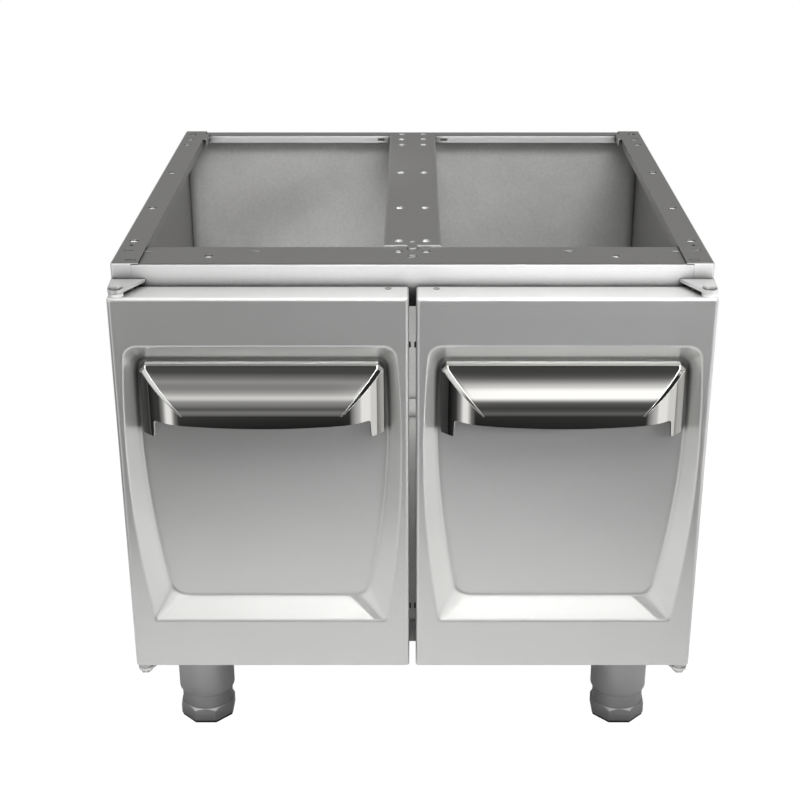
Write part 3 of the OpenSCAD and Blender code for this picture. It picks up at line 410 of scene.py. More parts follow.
def surface(name, base, metallic, roughness, grain_mm, mottle, stretch=(1, 1, 1), cloud_mm=60,
            bump=0.02, edge_mm=0, facing=None, crease_mm=0, crease_dark=0.3):
    """A finish whose grey varies by mottle with a grain, drawn out along one axis, and with soft
    clouds; both are noises with sizes in millimetres. edge_mm rounds the shading of sharp edges.
    facing gives another base and metallic share to the faces that look one way, from a first to
    a second cosine, and so paints light and shade by the way a face turns. Within crease_mm of
    other surfaces the finish darkens to crease_dark: painted shade in creases and between parts."""
    material, tree, shader = start_material(name)
    coordinates = node(tree, "ShaderNodeTexCoord")
    place = coordinates.outputs["Object"]
    drawn = node(tree, "ShaderNodeMapping", {"Scale": stretch}, {"Vector": place}).outputs[0]
    grain = node(tree, "ShaderNodeTexNoise", {"Scale": 1 / (grain_mm * MM), "Detail": 4,
                 "Roughness": 0.6}, {"Vector": drawn}).outputs["Fac"]
    clouds = node(tree, "ShaderNodeTexNoise", {"Scale": 1 / (cloud_mm * MM), "Detail": 3},
                  {"Vector": place}).outputs["Fac"]
    both = node(tree, "ShaderNodeMix", {"data_type": "FLOAT", 0: CLOUD_SHARE},
                {2: grain, 3: clouds}).outputs[0]

    def tint(grey):
        """The colour, darker and lighter by mottle as the noise goes."""
        grey = np.array(grey)
        low, high = (tuple(np.clip(grey * (1 + s * mottle), 0, 1)) for s in (-1, 1))
        return ramp(tree, both, [(0.3, low), (0.7, high)])

    base_tint = tint(base)
    # Painted light and shade: faces that look the given way get another base and metallic share
    if facing:
        way, first, second, other_base, other_metallic = facing
        turned = node(tree, "ShaderNodeVectorMath", {"operation": "DOT_PRODUCT", 1: way},
                      {0: coordinates.outputs["Normal"]}).outputs["Value"]
        towards = map_range(tree, turned, first, second)
        base_tint = mix_colours(tree, towards, base_tint, tint(other_base))
        share = node(tree, "ShaderNodeMix",
                     {"data_type": "FLOAT", 2: metallic, 3: other_metallic}, {0: towards})
        tree.links.new(share.outputs[0], shader.inputs["Metallic"])
    else:
        shader.inputs["Metallic"].default_value = metallic
    if crease_mm:
        # Painted shade: near other surfaces the base darkens by ambient occlusion
        open_share = node(tree, "ShaderNodeAmbientOcclusion",
                          {"samples": SHADING_SAMPLES, "Distance": crease_mm * MM}).outputs["AO"]
        dust = ramp(tree, open_share, [(CREASE_RANGE[0], crease_dark), (CREASE_RANGE[1], 1.0)])
        base_tint = node(tree, "ShaderNodeMix", {"data_type": "RGBA", "blend_type": "MULTIPLY", 0: 1.0},
                         {6: base_tint, 7: dust}).outputs[2]
    tree.links.new(base_tint, shader.inputs["Base Color"])
    limits = roughness * (1 - ROUGHNESS_SWING), roughness * (1 + ROUGHNESS_SWING)
    rough = map_range(tree, both, 0.25, 0.75, limits)
    tree.links.new(rough, shader.inputs["Roughness"])
    relief = node(tree, "ShaderNodeBump", {"Strength": bump, "Distance": RELIEF}, {"Height": grain})
    if edge_mm:
        rounded = node(tree, "ShaderNodeBevel", {"samples": SHADING_SAMPLES, "Radius": edge_mm * MM})
        tree.links.new(rounded.outputs[0], relief.inputs["Normal"])
    tree.links.new(relief.outputs[0], shader.inputs["Normal"])
    return material


def make_materials(colours):
    """All finishes of the cabinet, by short name."""
    made = {}
    # 2B mill-finished stainless sheet: dull grey, with painted light that makes the faces towards the
    # front bright, and painted shade within 18 mm of other parts
    mill = (colours.frame_steel, 0.95, 0.4, 1.2, 0.03)
    to_front = ((0, -1, 0), 0.55, 0.9, colours.face_steel, 0.62)
    made["frame"] = surface("mill_finished_stainless", *mill, edge_mm=1.2, facing=to_front,
                            crease_mm=18, crease_dark=0)
    # The same sheet and painted front light on the bar between the openings, without the painted shade
    made["bar"] = surface("mill_finished_stainless_bar", *mill, edge_mm=0.4, facing=to_front)
    # Pickled sheet inside the body: a fine sparkling mottle, with painted shade that gives it a darker,
    # more metallic base where it lies level and darkens it within 12 mm of other parts
    made["inner"] = surface("pickled_stainless_sheet", colours.inner_steel, 0.5, 0.45, 3.0, 0.12,
                            edge_mm=0.8, facing=((0, 0, 1), 0.55, 0.9, colours.floor_steel, 0.65),
                            crease_mm=12)
    # Finely ground stainless of the doors, its grain running level
    ground = (colours.door_steel, 0.84, 0.3, 0.9, 0.02, (0.06, 1, 1))
    for key, name, facing, metallic, dark in (
        # The doors as a whole, with painted light that makes them paler and more matt where they turn
        # off the front
        ("door", "ground_stainless_doors", ((0, -1, 0), 0.97, 0.78), 0.74, 0.2),
        # Their folds and the recess's lower wall, with a painted highlight where they look up
        ("fold", "ground_stainless_folds_painted_highlight", ((0, -0.5, 0.87), 0.82, 0.93), 0.35, 0.3),
        # The recess's lower left corner, where the painted highlight runs on round the bend
        ("corner", "ground_stainless_corner_painted_highlight", ((0.35, -0.55, 0.76), 0.72, 0.86), 0.35, 0.8),
    ):
        # All three darken within 8 mm of other parts: painted shade
        made[key] = surface(name, *ground, bump=0, facing=(*facing, colours.fold_steel, metallic),
                            crease_mm=8, crease_dark=dark)
    # Buffed stainless: nearly a mirror, with hairline polishing haze along the handle, and a painted
    # dark reflection on the faces that turn to the left
    made["mirror"] = surface("polished_stainless", colours.mirror_steel, 1, 0.05, 1.5, 0.01,
                             (0.02, 1, 1), bump=0.003,
                             facing=((-1, 0, 0), 0.5, 0.66, colours.haze_steel, 1))
    # A satin white for the polished sheet's cut edges, which also paints a highlight on the handles'
    # flat tops
    made["edge"] = surface("ground_sheet_edge_and_highlight", colours.edge_steel, 0, 0.5, 1.0, 0.02)
    # Painted shade: a dark grey on the faces inside the handle's open mitre joints
    made["joint"] = surface("joint_painted_shade", colours.joint_steel, 0.8, 0.6, 1.0, 0.05)
    # Satin aluminium of the upper legs, turned, with a faint upright grain and painted shade within
    # 20 mm of other parts
    made["leg"] = surface("satin_aluminium", colours.leg_metal, 0.7, 0.42, 0.8, 0.04, (1, 1, 0.1),
                          crease_mm=20)
    # Cast aluminium of the feet, its darker grey a painted shade under the body, with a painted
    # highlight on its cone and painted shade within 4 mm of other parts
    made["foot"] = surface("cast_aluminium", colours.foot_metal, 0.7, 0.4, 0.8, 0.06, edge_mm=0.6,
                           facing=((0, -0.62, 0.78), 0.86, 0.935, colours.face_steel, 0.05), crease_mm=4)
    # Bright zinc plate: pale and slightly cloudy, with painted shade within 3 mm of other parts
    made["zinc"] = surface("zinc_plated_steel", colours.zinc, 0.7, 0.36, 2.0, 0.03, bump=0.004,
                           edge_mm=0.5, crease_mm=3, crease_dark=0)
    # Moulded nitrile rubber, nylon and ABS, with a fine matt grain
    for key, name, base, rough in (
        ("rubber", "nitrile_rubber", colours.rubber, 0.75),
        ("nylon", "moulded_nylon", colours.nylon, 0.45),
        ("catch", "moulded_abs", colours.catch, 0.5),
    ):
        made[key] = surface(name, base, 0, rough, 0.6, 0.04)
    return made


MATERIALS = {}


def finish_node(name, material):
    """Gives a carried-over CAD node its finish."""
    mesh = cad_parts[name].data
    mesh.materials.clear()
    mesh.materials.append(material)


def ride_on(piece, body, slot, *nodes):
    """Fixes a finished piece to its body, in place of the named nodes. The slot is not used."""
    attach(piece, body)
    if nodes:
        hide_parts(*nodes)


class CABINET_OT_body(bpy.types.Operator):
    """Finishes the body's panels, rails and channels"""
    bl_idname = "cabinet.body"
    bl_label = "Body"

    def execute(self, context):
        MATERIALS.update(make_materials(context.scene.cabinet_colours))
        for name in ("side_panel_left", "side_panel_right", "rear_rail", "front_rail"):
            finish_node(name, MATERIALS["frame"])
        finish_node("center_rail", MATERIALS["bar"])
        for name in ("back_panel", "floor_pan", "leg_channel_front", "leg_channel_rear"):
            finish_node(name, MATERIALS["inner"])
        for side in SIDES:
            finish_node(f"magnet_catch_{side}", MATERIALS["catch"])
            finish_node(f"door_liner_{side}", MATERIALS["inner"])
            for name in ("strike_plate", "pivot_plates", "handle_rivets", "liner_rivets"):
                finish_node(f"{name}_{side}", MATERIALS["zinc"])
            finish_node(f"door_buffers_{side}", MATERIALS["rubber"])
            for level in ("upper", "lower"):
                finish_node(f"hinge_bracket_{level}_{side}", MATERIALS["zinc"])
                finish_node(f"hinge_pin_{level}_{side}", MATERIALS["zinc"])
                finish_node(f"hinge_bush_{level}_{side}", MATERIALS["nylon"])
        for name in ("bracket_screws", "leg_bolts"):
            finish_node(name, MATERIALS["zinc"])
        return {"FINISHED"}


def door_rings(sizes, side):
    """Outlines of a door from its back edge round the folds, over the face, down the recess's
    wall and across its floor, as an array of rings of points."""
    low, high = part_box(f"door_skin_{side}")
    mid_x = (low.x + high.x) / 2
    half = (high.x - low.x) / 2
    rings = []

    def add(shape, y):
        """Adds an outline at a depth."""
        flat = outline(*shape)
        rings.append(np.stack([flat[:, 0] + mid_x, np.full(len(flat), y), flat[:, 1]], 1))

    def box_shape(inset_x, inset_z):
        """The door's own outline, drawn in at its sides and at its top and bottom."""
        width, radius = half - inset_x, sizes.corner
        return (high.z - inset_z, low.z + inset_z, width, width, 0, radius, radius)

    def recess_shape(share, grow):
        """The recess's outline, from its rim at share 0 to the edge of its floor at share 1."""
        return (
            high.z - sizes.top - sizes.wall_rise * share + grow,
            low.z + sizes.bottom + sizes.wall_rise * share - grow,
            half - sizes.side - sizes.wall_side * share + grow,
            half - sizes.side - sizes.taper - (sizes.wall_side + sizes.floor_taper) * share + grow,
            sizes.bow,
            mix(sizes.top_radius, sizes.floor_top_radius, share),
            mix(sizes.rim_radius, sizes.floor_radius, share),
        )

    # Rings 1 mm or less from an edge or a bend keep the shading of the flat sheet clean
    for y in (high.y, high.y - MM, mix(low.y, high.y, 0.5), low.y + sizes.fold + 0.5 * MM):
        add(box_shape(0, 0), y)
    for turn in np.linspace(0, math.pi / 2, FOLD_ROWS - 3):
        bite = 1 - math.cos(turn)
        add(box_shape(sizes.fold * bite, sizes.edge * bite), low.y + sizes.fold * (1 - math.sin(turn)))
    start = box_shape(sizes.fold + 0.4 * MM, sizes.edge + 0.4 * MM)
    end = recess_shape(0, 0.6 * MM)
    for share in (0, 0.1, 0.3, 0.6, 0.9, 1):    # as many as FRONT_ROWS
        add(tuple(mix(a, b, share) for a, b in zip(start, end)), low.y)
    bends = np.linspace(0, sizes.bend, 9)
    shares = np.concatenate([bends, np.linspace(sizes.bend, 1 - sizes.bend, 7)[1:-1], 1 - bends[::-1]])
    for share in shares:
        add(recess_shape(share, 0), low.y + sizes.depth * float(wall_depth(share, sizes.bend)))
    add(recess_shape(1, -0.6 * MM), low.y + sizes.depth)
    rim = rings[-1]
    centre = rim.mean(0)
    rings += [centre + (rim - centre) * share for share in (0.9, 0.7, 0.45, 0.2, 0.02)]
    return np.array(rings)


class CABINET_OT_doors(bpy.types.Operator):
    """Makes the doors' pressed outer skins"""
    bl_idname = "cabinet.doors"
    bl_label = "Doors"

    def execute(self, context):
        sizes = context.scene.cabinet_doors
        for side in SIDES:
            rings = door_rings(sizes, side)
            count, around, _ = rings.shape
            faces = [tuple(f) for f in grid_faces(count, around, True)[:, ::-1]]
            faces.append(tuple(range(count * around - 1, (count - 1) * around - 1, -1)))
            skin = make_mesh(f"door_face_{side}", rings.reshape(-1, 3), faces, MATERIALS["door"])
            for extra in ("fold", "corner"):
                skin.data.materials.append(MATERIALS[extra])
            # Columns run clockwise from the top's middle: past half-way lies the lower left corner
            row, column = np.divmod(np.arange(len(faces)), around)
            past = column - around / 2
            pressed = row >= FOLD_ROWS + FRONT_ROWS
            # Slot 1 paints a highlight on the folds and the recess's lower middle, slot 2 on its lower
            # left corner
            looks_up = (row < FOLD_ROWS) | (pressed & (abs(past) < EDGE_POINTS))
            left_corner = pressed & (past >= EDGE_POINTS) & (past < EDGE_POINTS + CORNER_POINTS - 2)
            skin.data.polygons.foreach_set("material_index", looks_up + 2 * left_corner)
            thicken(skin, sizes.sheet)
            ride_on(skin, f"door_{side}", "door_steel", f"door_skin_{side}")
        return {"FINISHED"}


def roll(run, rise):
    """Distances inwards and heights of a roll that leaves its front tangentially: an arc of a
    circle that climbs by rise over the run."""
    radius = (run * run + rise * rise) / (2 * rise)
    turn = np.linspace(math.acos((radius - rise) / radius), 0, ROLL_ROWS)
    return run - radius * np.sin(turn), radius * np.cos(turn) - (radius - rise)


def hood_surface(sizes, door, box):
    """Grid of an inverted U carried from the fixing flange over the roll to the front: each row
    has one height, its legs run down the ends and its bridge along the top. Then the grid of the
    flat front, whose rows sink towards the curved lower edge, and the material slots of both."""
    low, high = box
    mid_x = (low.x + high.x) / 2
    back = low.y + door.depth
    half = (high.x - low.x) / 2 - door.side - door.wall_side - sizes.gap
    top = high.z - door.top - door.wall_rise - sizes.gap
    rise = door.depth + sizes.proud
    inner = half - sizes.roll_length
    span = half - sizes.lug_width
    edge_radius = (span ** 2 + sizes.edge_rise ** 2) / (2 * sizes.edge_rise)
    edge_z = top - sizes.height
    top_in, heights = roll(sizes.roll_height, rise - sizes.shelf)
    side_in, _ = roll(sizes.roll_length, rise - sizes.shelf)
    # Rows across the flange, by their distance inwards, then up the flat top, then over the roll
    inside = np.array([sizes.flange, sizes.flange * 0.5, 2 * MM, 0.6 * MM])
    shelf_up = np.linspace(0, sizes.shelf, 7)[:-1]
    roll_start = len(inside) + len(shelf_up)
    top_in = np.concatenate([inside, 0 * shelf_up, top_in])
    side_in = np.concatenate([inside, 0 * shelf_up, side_in])
    heights = np.concatenate([np.zeros(len(inside)), shelf_up, heights + sizes.shelf])
    count = len(heights)

    def lower_edge(x):
        """Height of the lower edge at a distance from the middle: a shallow arc, a fillet
        and then the lug."""
        x = np.abs(x)
        curve = edge_z + edge_radius - np.sqrt(edge_radius ** 2 - np.minimum(x, span) ** 2)
        into = np.clip(x - span + sizes.fillet, 0, sizes.fillet)
        curve = curve - sizes.fillet + np.sqrt(sizes.fillet ** 2 - into ** 2)
        fall = np.clip((x - span) / (0.8 * MM), 0, 1)
        return mix(curve, edge_z - sizes.lug_drop, fall)

    rows = []
    # Across the mitre: the end's edge, a groove, a flat bevel and the top plate's edge
    joint = np.array([0.0, 0.08, 0.13, 0.18, 0.2, 0.84, 0.86, 1.0])
    cut = np.array([0, 0, 1, 0, 0, 0, 0, 0])
    mitre = slice(LEG_POINTS - 1, LEG_POINTS - 1 + len(joint))
    for i, (a, b, height) in enumerate(zip(top_in, side_in, heights)):
        along = np.clip((i - roll_start) / (count - 1 - roll_start), 0, 1)
        radius = max(door.floor_top_radius - sizes.gap - min(a, b), 0)
        width = max(radius, mix(sizes.mitre, sizes.mitre_end, along ** 2))
        x, z = half - b, top - a
        leg_z = mix(lower_edge(x), z - width, np.linspace(0, 1, LEG_POINTS))
        leg = np.stack([np.full(LEG_POINTS, x), leg_z], 1)
        turn = joint * math.pi / 2
        bend = np.stack([x - width * (1 - np.cos(turn)), z - width * (1 - np.sin(turn))], 1)
        if i >= roll_start:    # the bevel is flat between its two edges
            bend[4], bend[5] = mix(bend[3], bend[6], 0.06), mix(bend[3], bend[6], 0.94)
        bridge_x = np.linspace(x - width, 0, BRIDGE_POINTS)[1:]
        bridge = np.stack([bridge_x, np.full(len(bridge_x), z)], 1)
        half_row = np.concatenate([leg, bend[1:], bridge])
        sunk = np.zeros(len(half_row))
        sunk[mitre] = cut * (roll_start <= i < count - 3) * sizes.sheet * mix(0.5, 0.2, along)
        row = np.concatenate([half_row, half_row[-2::-1] * np.array([-1, 1])])
        depth = np.concatenate([sunk, sunk[-2::-1]])
        rows.append(np.stack([mid_x + row[:, 0], back - height + depth, row[:, 1]], 1))
    rows = np.array(rows)
    end = rows[-1, :mitre.stop]
    share = (end[:, 2] - end[0, 2]) / (end[-1, 2] - end[0, 2])
    spread = np.linspace(1, 0, BRIDGE_POINTS)
    spread = np.concatenate([spread, -spread[-2::-1]])
    face_x = (end[:, 0] - mid_x)[:, None] * spread
    sag = lower_edge(face_x) - lower_edge(inner)
    face_z = end[:, 2][:, None] + sag * (1 - share[:, None])
    face_y = np.full(face_x.shape, back - rise)
    face = np.stack([mid_x + face_x, face_y, face_z], 2)[::-1]
    # Material slots: 1, a satin white that also paints a highlight, for the flat top and the cut edges
    # beside the mitres; 2 for the grooves, painted dark as shade
    slot = np.zeros((count - 1, rows.shape[1] - 1), int)
    first = mitre.start + 5
    slot[len(inside) - 1:roll_start - 1, first:-first] = 1
    for strip in (slot[roll_start + 1:], slot[roll_start + 1:, ::-1]):
        strip = strip[:, mitre.start:mitre.stop - 1]
        strip[:, (0, 6)] = 1
        strip[:, 1:3] = 2
    slots = np.concatenate([slot.ravel(), np.zeros((face.shape[0] - 1) * (face.shape[1] - 1), int)])
    return rows, face, slots


class CABINET_OT_handles(bpy.types.Operator):
    """Makes the mirror-polished hood handles"""
    bl_idname = "cabinet.handles"
    bl_label = "Handles"

    def execute(self, context):
        sizes = context.scene.cabinet_handles
        for side in SIDES:
            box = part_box(f"door_skin_{side}")
            rows, face, slots = hood_surface(sizes, context.scene.cabinet_doors, box)
            points = np.concatenate([rows.reshape(-1, 3), face.reshape(-1, 3)])
            faces = np.concatenate([grid_faces(*rows.shape[:2], False),
                                    grid_faces(*face.shape[:2], False) + rows.size // 3])
            hood = make_mesh(f"handle_hood_{side}", points, faces, MATERIALS["mirror"])
            for extra in ("edge", "joint"):
                hood.data.materials.append(MATERIALS[extra])
            hood.data.polygons.foreach_set("material_index", slots)
            weld(hood)
            thicken(hood, sizes.sheet)
            ride_on(hood, f"door_{side}", "mirror_steel", f"handle_{side}")
        return {"FINISHED"}


class CabinetFittingSizes(bpy.types.PropertyGroup):
    """Sizes of rivets and of the collars under the fixing holes"""
    shank: length("Shank", "Diameter of a liner rivet's shank", 3.2)
    head: length("Head", "Diameter of a liner rivet's head", 6.4)
    dome: length("Dome", "Height of a liner rivet's head", 1)
    collar: length("Collar", "Depth of the collar drawn down round a hole", 3.5)
    collar_wall: length("Collar wall", "Thickness of a drawn collar", 1)
    grip: length("Grip", "How far a liner rivet's shank reaches in below its head", 4.5)


# Fixing holes seen from above, in millimetres: distance from the middle, distance behind the
# body's front, diameter and depth of the sheet's underside below the top
ROW_PLACES = (72, 193, 343, 480, 509, 536)
FIXING_HOLES = (
    *((288, place, 9, 1.5) for place in ROW_PLACES), (288, 57, 4, 1.5),
    *((14, place, 9, 1.5) for place in ROW_PLACES),
    (14, 41, 8.5, 3), (205, 25.5, 8.5, 3),
)


class CABINET_OT_fittings(bpy.types.Operator):
    """Makes the liner rivets' round heads and the collars round the fixing holes"""
    bl_idname = "cabinet.fittings"
    bl_label = "Fittings"

    def execute(self, context):
        sizes = context.scene.cabinet_fittings
        turn = np.linspace(0, math.pi / 2, 8)
        margin, shank, tip = sizes.head / 2, sizes.shank / 2, 0.01 * MM
        dome = [(margin * math.cos(t), sizes.dome * math.sin(t)) for t in turn[1:-1]]
        rivet = lathe([(shank, -sizes.grip), (shank, 0), (margin, 0), *dome, (tip, sizes.dome)], 32)
        for side in SIDES:
            low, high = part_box(f"liner_rivets_{side}")
            y = (low.y + high.y) / 2
            solids = [
                placed(rivet, (x, y, z), up)
                for x in (low.x + margin, high.x - margin)
                for z, up in ((high.z - sizes.dome, 1), (low.z + sizes.dome, -1))
            ]
            heads = make_solid(f"rivet_heads_{side}", solids, MATERIALS["mirror"])
            ride_on(heads, f"door_{side}", "zinc_plate", f"liner_rivets_{side}")
        _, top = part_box("side_panel_right")
        front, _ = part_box("floor_pan")
        clear = 0.1 * MM
        collars = []
        for x, distance, diameter, below in FIXING_HOLES:
            inner = diameter / 2 * MM
            outer = inner + sizes.collar_wall
            z = top.z - below * MM - clear
            low = z - sizes.collar
            collar = tube([(outer, low), (outer, z), (inner, z), (inner, low)], 32)
            y = front.y + distance * MM
            collars += [placed(collar, (sign * x * MM, y, 0)) for sign in (-1, 1)]
        piece = make_solid("hole_collars", collars, MATERIALS["edge"])
        ride_on(piece, "carcass", "body_steel")
        return {"FINISHED"}


class CabinetLegSizes(bpy.types.PropertyGroup):
    """Sizes of the levelling legs"""
    wall: length("Wall", "Wall of the upper leg", 2.5)
    cap: length("Cap", "Thickness of the upper leg's closed top", 10)
    bore: length("Bore", "Diameter of the hole for the levelling bolt", 10)
    neck: length("Neck", "Diameter of the foot's neck", 59)
    flats: length("Flats", "Width of the octagonal foot across its flats", 61)
    foot: length("Foot height", "Height of the octagonal foot above the floor", 19.5)
    drop: length("Cone drop", "How far the foot's cone falls to its corners", 3.6)
    bevel: length("Bevel", "Width of the small bevels", 0.7)
    pad_inset: length("Pad inset", "How much narrower the pad is than the foot", 1)


class CABINET_OT_legs(bpy.types.Operator):
    """Makes the turned upper legs, the octagonal feet and their pads"""
    bl_idname = "cabinet.legs"
    bl_label = "Legs"

    def execute(self, context):
        sizes = context.scene.cabinet_legs
        bevel, start = sizes.bevel, math.pi / FOOT_SIDES
        for leg in LEGS:
            low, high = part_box(f"leg_sleeve_{leg}")
            radius = (high.x - low.x) / 2
            centre = ((low.x + high.x) / 2, (low.y + high.y) / 2, 0)
            inner = radius - sizes.wall
            ceiling = high.z - sizes.cap
            upper = tube([
                (sizes.bore / 2, ceiling), (inner, ceiling), (inner, low.z + bevel / 2),
                (inner + bevel / 2, low.z), (radius - bevel, low.z),
                (radius - bevel / 4, low.z + bevel / 4), (radius, low.z + bevel), (radius, high.z),
                (sizes.bore / 2, high.z),
            ])
            piece = make_solid(f"leg_tube_{leg}", [placed(upper, centre)], MATERIALS["leg"])
            ride_on(piece, "carcass", "leg_metal", f"leg_sleeve_{leg}")

            low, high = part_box(f"foot_{leg}")
            neck, top = sizes.neck / 2, sizes.foot
            above = (
                (neck + 0.2 * MM, top + 0.3 * MM), (neck, top + 1.2 * MM), (neck, high.z),
                (neck - 4 * MM, high.z), (sizes.bore, top),
            )
            lower = chamfered(FOOT_SIDES, sizes.flats, start, low.z, top, sizes.drop,
                              neck + 0.8 * MM, bevel, above)
            piece = make_solid(f"levelling_foot_{leg}", [placed(lower, centre)], MATERIALS["foot"])
            ride_on(piece, f"foot_assembly_{leg}", "leg_metal", f"foot_{leg}")

            low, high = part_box(f"foot_pad_{leg}")
            edge = prism_radius(FOOT_SIDES, sizes.flats - 2 * sizes.pad_inset, start)
            pad = loft([ring(edge - inset, z) for inset, z in (
                (bevel, low.z), (bevel / 4, low.z + bevel / 4), (0, low.z + bevel), (0, high.z),
            )])
            piece = make_solid(f"rubber_pad_{leg}", [placed(pad, centre)], MATERIALS["rubber"])
            ride_on(piece, f"foot_assembly_{leg}", "rubber", f"foot_pad_{leg}")
        return {"FINISHED"}


def add_lamp(name, place, target, size, power, spread):
    """An area lamp at a place, facing a target, with the spread of its beam in degrees."""
    data = bpy.data.lights.new(name, "AREA")
    data.shape = "RECTANGLE"
    data.size, data.size_y = size
    data.energy = power
    data.spread = math.radians(spread)
    lamp = bpy.data.objects.new(name, data)
    lamp.visible_glossy = False
    aim = np.array(target, float) - np.array(place, float)
    lamp.location = place
    lamp.rotation_euler = (
        math.atan2(math.hypot(aim[0], aim[1]), -aim[2]), 0, math.atan2(aim[0], -aim[1]) + math.pi
    )
    bpy.context.scene.collection.objects.link(lamp)


# Lamps: name, place, target, size, watts and spread in degrees. They light the matt part of each
# finish; what the metals mirror comes from the studio's brightness below
LAMPS = (
    ("top_softbox", (0.25, -0.95, 1.75), (0, -0.2, 0.45), (1.2, 0.5), 11, 90),
    ("inner_softbox", (-0.15, -0.1, 1.35), (-0.1, 0.1, 0.3), (0.7, 0.4), 0.35, 70),
    ("front_softbox", (0.7, -2.3, 1.45), (-0.1, 0.28, 0.4), (0.8, 0.4), 0.75, 60),
    ("back_spot", (-0.25, -0.25, 1.35), (0, 0.3, 0.22), (0.1, 0.1), 0.17, 14),
    ("right_spot", (0.9, -1.2, 1.0), (0.17, -0.29, 0.52), (0.3, 0.3), 0.5, 26),
    ("rear_softbox", (-0.4, 1.9, 1.5), (0, 0.2, 0.4), (1.2, 0.6), 4, 90),
)
# Brightness of the studio in front, by elevation in degrees, to the left and to the right
STUDIO_LEFT = (
    (-90, 0.1), (-30, 0.02), (-25, 0.004), (-24.2, 0.006), (-23.2, 0.1), (-20, 0.19), (-16.3, 0.22),
    (-12.5, 0.13), (-10.6, 0.1), (-5, 0.21), (2.3, 0.33), (4, 0.4), (6, 0.57), (9, 0.77), (12, 0.73),
    (15, 0.56), (20, 0.38), (26, 0.27), (32, 0.27), (38.5, 0.34), (43.5, 0.24), (48, 0.17),
    (55, 0.075), (90, 0.06),
)
STUDIO_RIGHT = (
    (-90, 0.1), (-30, 0.02), (-24.4, 0.012), (-23.4, 0.06), (-18.5, 0.15), (-14, 0.085), (-8.8, 0.058),
    (-3, 0.09), (0.4, 0.12), (3, 0.25), (5, 0.5), (8, 1.0), (9.5, 1.24), (12, 1.29), (22, 1.28),
    (25.6, 1.09), (29, 0.82), (34.5, 0.59), (38, 0.39), (41.7, 0.25), (45.3, 0.14), (50.8, 0.084),
    (57, 0.062), (90, 0.06),
)
# Behind, by elevation: a pale screen up to eye level, below a dim wall
STUDIO_BACK = ((-90, 0.5), (-20, 0.8), (2, 0.8), (12, 0.35), (40, 0.35), (90, 0.3))
# Low in the studio, by the bearing in degrees from straight ahead, to the left (-) and right (+)
STUDIO_ROUND = (
    (-180, 0.05), (-110, 0.03), (-60, 0.05), (-50, 0.3), (-42, 0.95), (-33, 0.95), (-24, 0.2),
    (-14, 0.05), (14, 0.04), (24, 0.3), (32, 0.5), (38, 0.6), (43, 0.95), (62, 0.95), (68, 0.75),
    (180, 0.7),
)
# The same from a little below eye level up to the top of the side cards
STUDIO_CARDS = (
    (-180, 0.3), (-110, 0.3), (-95, 0.8), (-24, 0.85), (-16, 0.3), (14, 0.3), (20, 0.03), (95, 0.03),
    (110, 0.3), (180, 0.3),
)
# The same again, lower than the tops of the handles reflect
STUDIO_LOW_CARDS = STUDIO_CARDS[:6] + (
    (20, 0.03), (54, 0.03), (60, 1.0), (95, 1.0), (110, 0.3), (180, 0.3),
)


def add_camera(stage):
    """The camera, level sideways, looking down by the stage's tilt."""
    data = bpy.data.cameras.new("camera")
    data.lens = stage.lens
    data.sensor_width = 36
    data.shift_x = stage.shift
    camera = bpy.data.objects.new("camera", data)
    camera.location = stage.camera_place
    camera.rotation_euler = (math.pi / 2 - stage.camera_tilt, 0, 0)
    bpy.context.scene.collection.objects.link(camera)
    bpy.context.scene.camera = camera


def add_floor(radius):
    """A round pale matt floor, which the camera sees as good as white."""
    material, tree, shader = start_material("painted_studio_floor")
    shader.inputs["Base Color"].default_value = (0.7, 0.7, 0.7, 1)
    shader.inputs["Roughness"].default_value = 0.9
    seen = node(tree, "ShaderNodeLightPath").outputs["Is Camera Ray"]
    share = node(tree, "ShaderNodeMath", {"operation": "MULTIPLY", 1: 0.95}, {0: seen}).outputs[0]
    glow = node(tree, "ShaderNodeEmission", {"Color": (1, 1, 1, 1), "Strength": 1.06})
    show_apart(tree, share, shader.outputs[0], glow.outputs[0], "Material Output")
    floor = make_mesh("floor", ring(radius, 0), [tuple(range(len(ROUND)))], material, smooth=False)


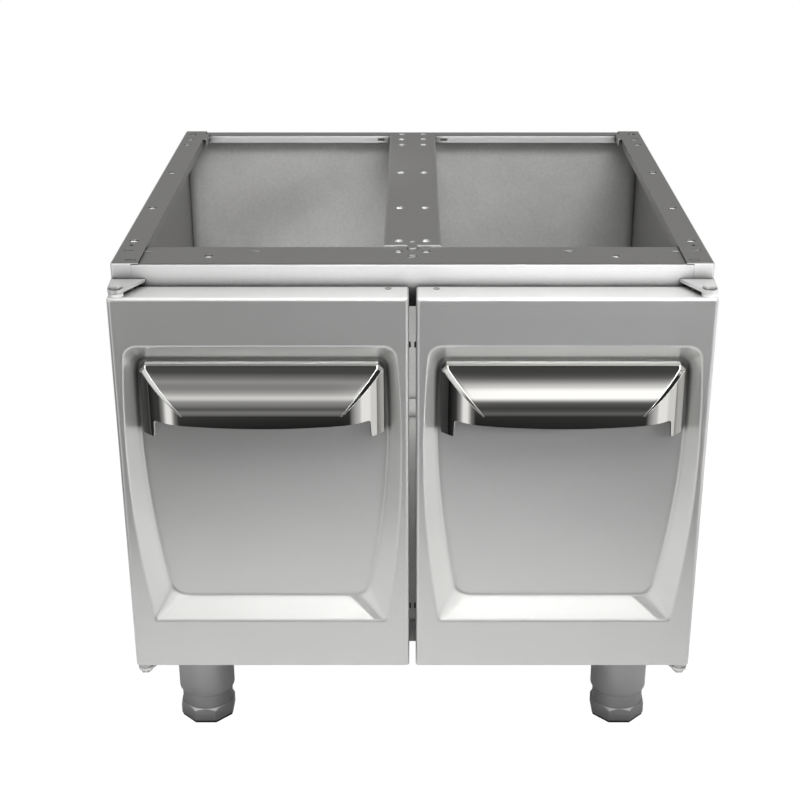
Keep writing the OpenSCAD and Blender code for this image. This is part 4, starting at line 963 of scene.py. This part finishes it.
def studio_shade(tree):
    """Brightness of the studio in every direction: in front by elevation, with other shades low
    down and on the side cards by bearing, and behind by elevation again."""
    direction = node(tree, "ShaderNodeTexCoord").outputs["Generated"]
    x, y, z = node(tree, "ShaderNodeSeparateXYZ", None, {0: direction}).outputs
    elevation = node(tree, "ShaderNodeMath", {"operation": "ARCSINE"}, {0: z}).outputs[0]
    forward = node(tree, "ShaderNodeMath", {"operation": "MULTIPLY", 1: -1}, {0: y}).outputs[0]
    bearing = node(tree, "ShaderNodeMath", {"operation": "ARCTAN2"}, {0: x, 1: forward}).outputs[0]
    aside = node(tree, "ShaderNodeMath", {"operation": "ABSOLUTE"}, {0: bearing}).outputs[0]

    def profile(angle, stops):
        """Brightness by an angle, halved to stay within a colour ramp's range."""
        low, high = stops[0][0], stops[-1][0]
        share = map_range(tree, angle, math.radians(low), math.radians(high))
        return ramp(tree, share, [((a - low) / (high - low), v / 2) for a, v in stops])

    def between(value, low, high, first, second):
        """Fades from a first shade to a second while a value rises from low to high."""
        return mix_colours(tree, map_range(tree, value, low, high, smooth=True), first, second)

    def angled(angle, low, high, first, second):
        """The same fade over an angle, with its limits in degrees."""
        return between(angle, math.radians(low), math.radians(high), first, second)

    # x and y say how far a direction goes to the right and to the back
    ahead = between(x, -0.06, 0.06, profile(elevation, STUDIO_LEFT), profile(elevation, STUDIO_RIGHT))
    low_part = angled(aside, 12, 20, ahead, profile(bearing, STUDIO_ROUND))
    cards = angled(elevation, 17, 22, profile(bearing, STUDIO_LOW_CARDS), profile(bearing, STUDIO_CARDS))
    card_part = angled(aside, 15, 20, ahead, cards)
    side_part = angled(elevation, -18, -14, low_part, card_part)
    front = angled(elevation, 30, 38, side_part, ahead)
    return between(y, 0.1, 0.5, front, profile(elevation, STUDIO_BACK))


def add_studio():
    """A world that mirrors as the studio's brightness, and that the camera sees as white."""
    world = bpy.data.worlds.new("studio")
    bpy.context.scene.world = world
    world.use_nodes = True
    tree = world.node_tree
    around = tree.nodes["Background"]
    around.inputs["Strength"].default_value = 2    # undoes the halving in studio_shade
    tree.links.new(studio_shade(tree), around.inputs["Color"])
    white = node(tree, "ShaderNodeBackground", {"Color": (1, 1, 1, 1), "Strength": 1.0})
    seen = node(tree, "ShaderNodeLightPath").outputs["Is Camera Ray"]
    show_apart(tree, seen, around.outputs[0], white.outputs[0], "World Output")


class CABINET_OT_stage(bpy.types.Operator):
    """Adds the floor, the lights and the camera"""
    bl_idname = "cabinet.stage"
    bl_label = "Stage"

    def execute(self, context):
        stage = context.scene.cabinet_stage
        add_camera(stage)
        add_floor(stage.floor_radius)
        add_studio()
        for lamp in LAMPS:
            add_lamp(*lamp)
        context.scene.view_settings.view_transform = "Standard"
        return {"FINISHED"}


class CABINET_PT_panel(bpy.types.Panel):
    """Lists the cabinet's operators"""
    bl_idname = "CABINET_PT_panel"
    bl_label = "Kitchen base cabinet"
    bl_space_type = "VIEW_3D"
    bl_region_type = "UI"
    bl_category = "Cabinet"

    def draw(self, context):
        for operator in OPERATORS:
            self.layout.operator(operator.bl_idname)


OPERATORS = (
    CABINET_OT_body, CABINET_OT_doors, CABINET_OT_handles, CABINET_OT_fittings, CABINET_OT_legs,
    CABINET_OT_stage,
)
GROUPS = {
    "cabinet_doors": CabinetDoorSizes,
    "cabinet_handles": CabinetHandleSizes,
    "cabinet_legs": CabinetLegSizes,
    "cabinet_fittings": CabinetFittingSizes,
    "cabinet_colours": CabinetColours,
    "cabinet_stage": CabinetStage,
}


def register():
    for cls in (*GROUPS.values(), *OPERATORS, CABINET_PT_panel):
        bpy.utils.register_class(cls)
    for name, group in GROUPS.items():
        setattr(bpy.types.Scene, name, bpy.props.PointerProperty(type=group))


def unregister():
    for name in GROUPS:
        delattr(bpy.types.Scene, name)
    for cls in (CABINET_PT_panel, *OPERATORS[::-1], *GROUPS.values()):
        bpy.utils.unregister_class(cls)


def main():
    register()
    bpy.ops.cabinet.body()
    bpy.ops.cabinet.doors()
    bpy.ops.cabinet.handles()
    bpy.ops.cabinet.fittings()
    bpy.ops.cabinet.legs()
    bpy.ops.cabinet.stage()


if __name__ == "__main__":
    main()
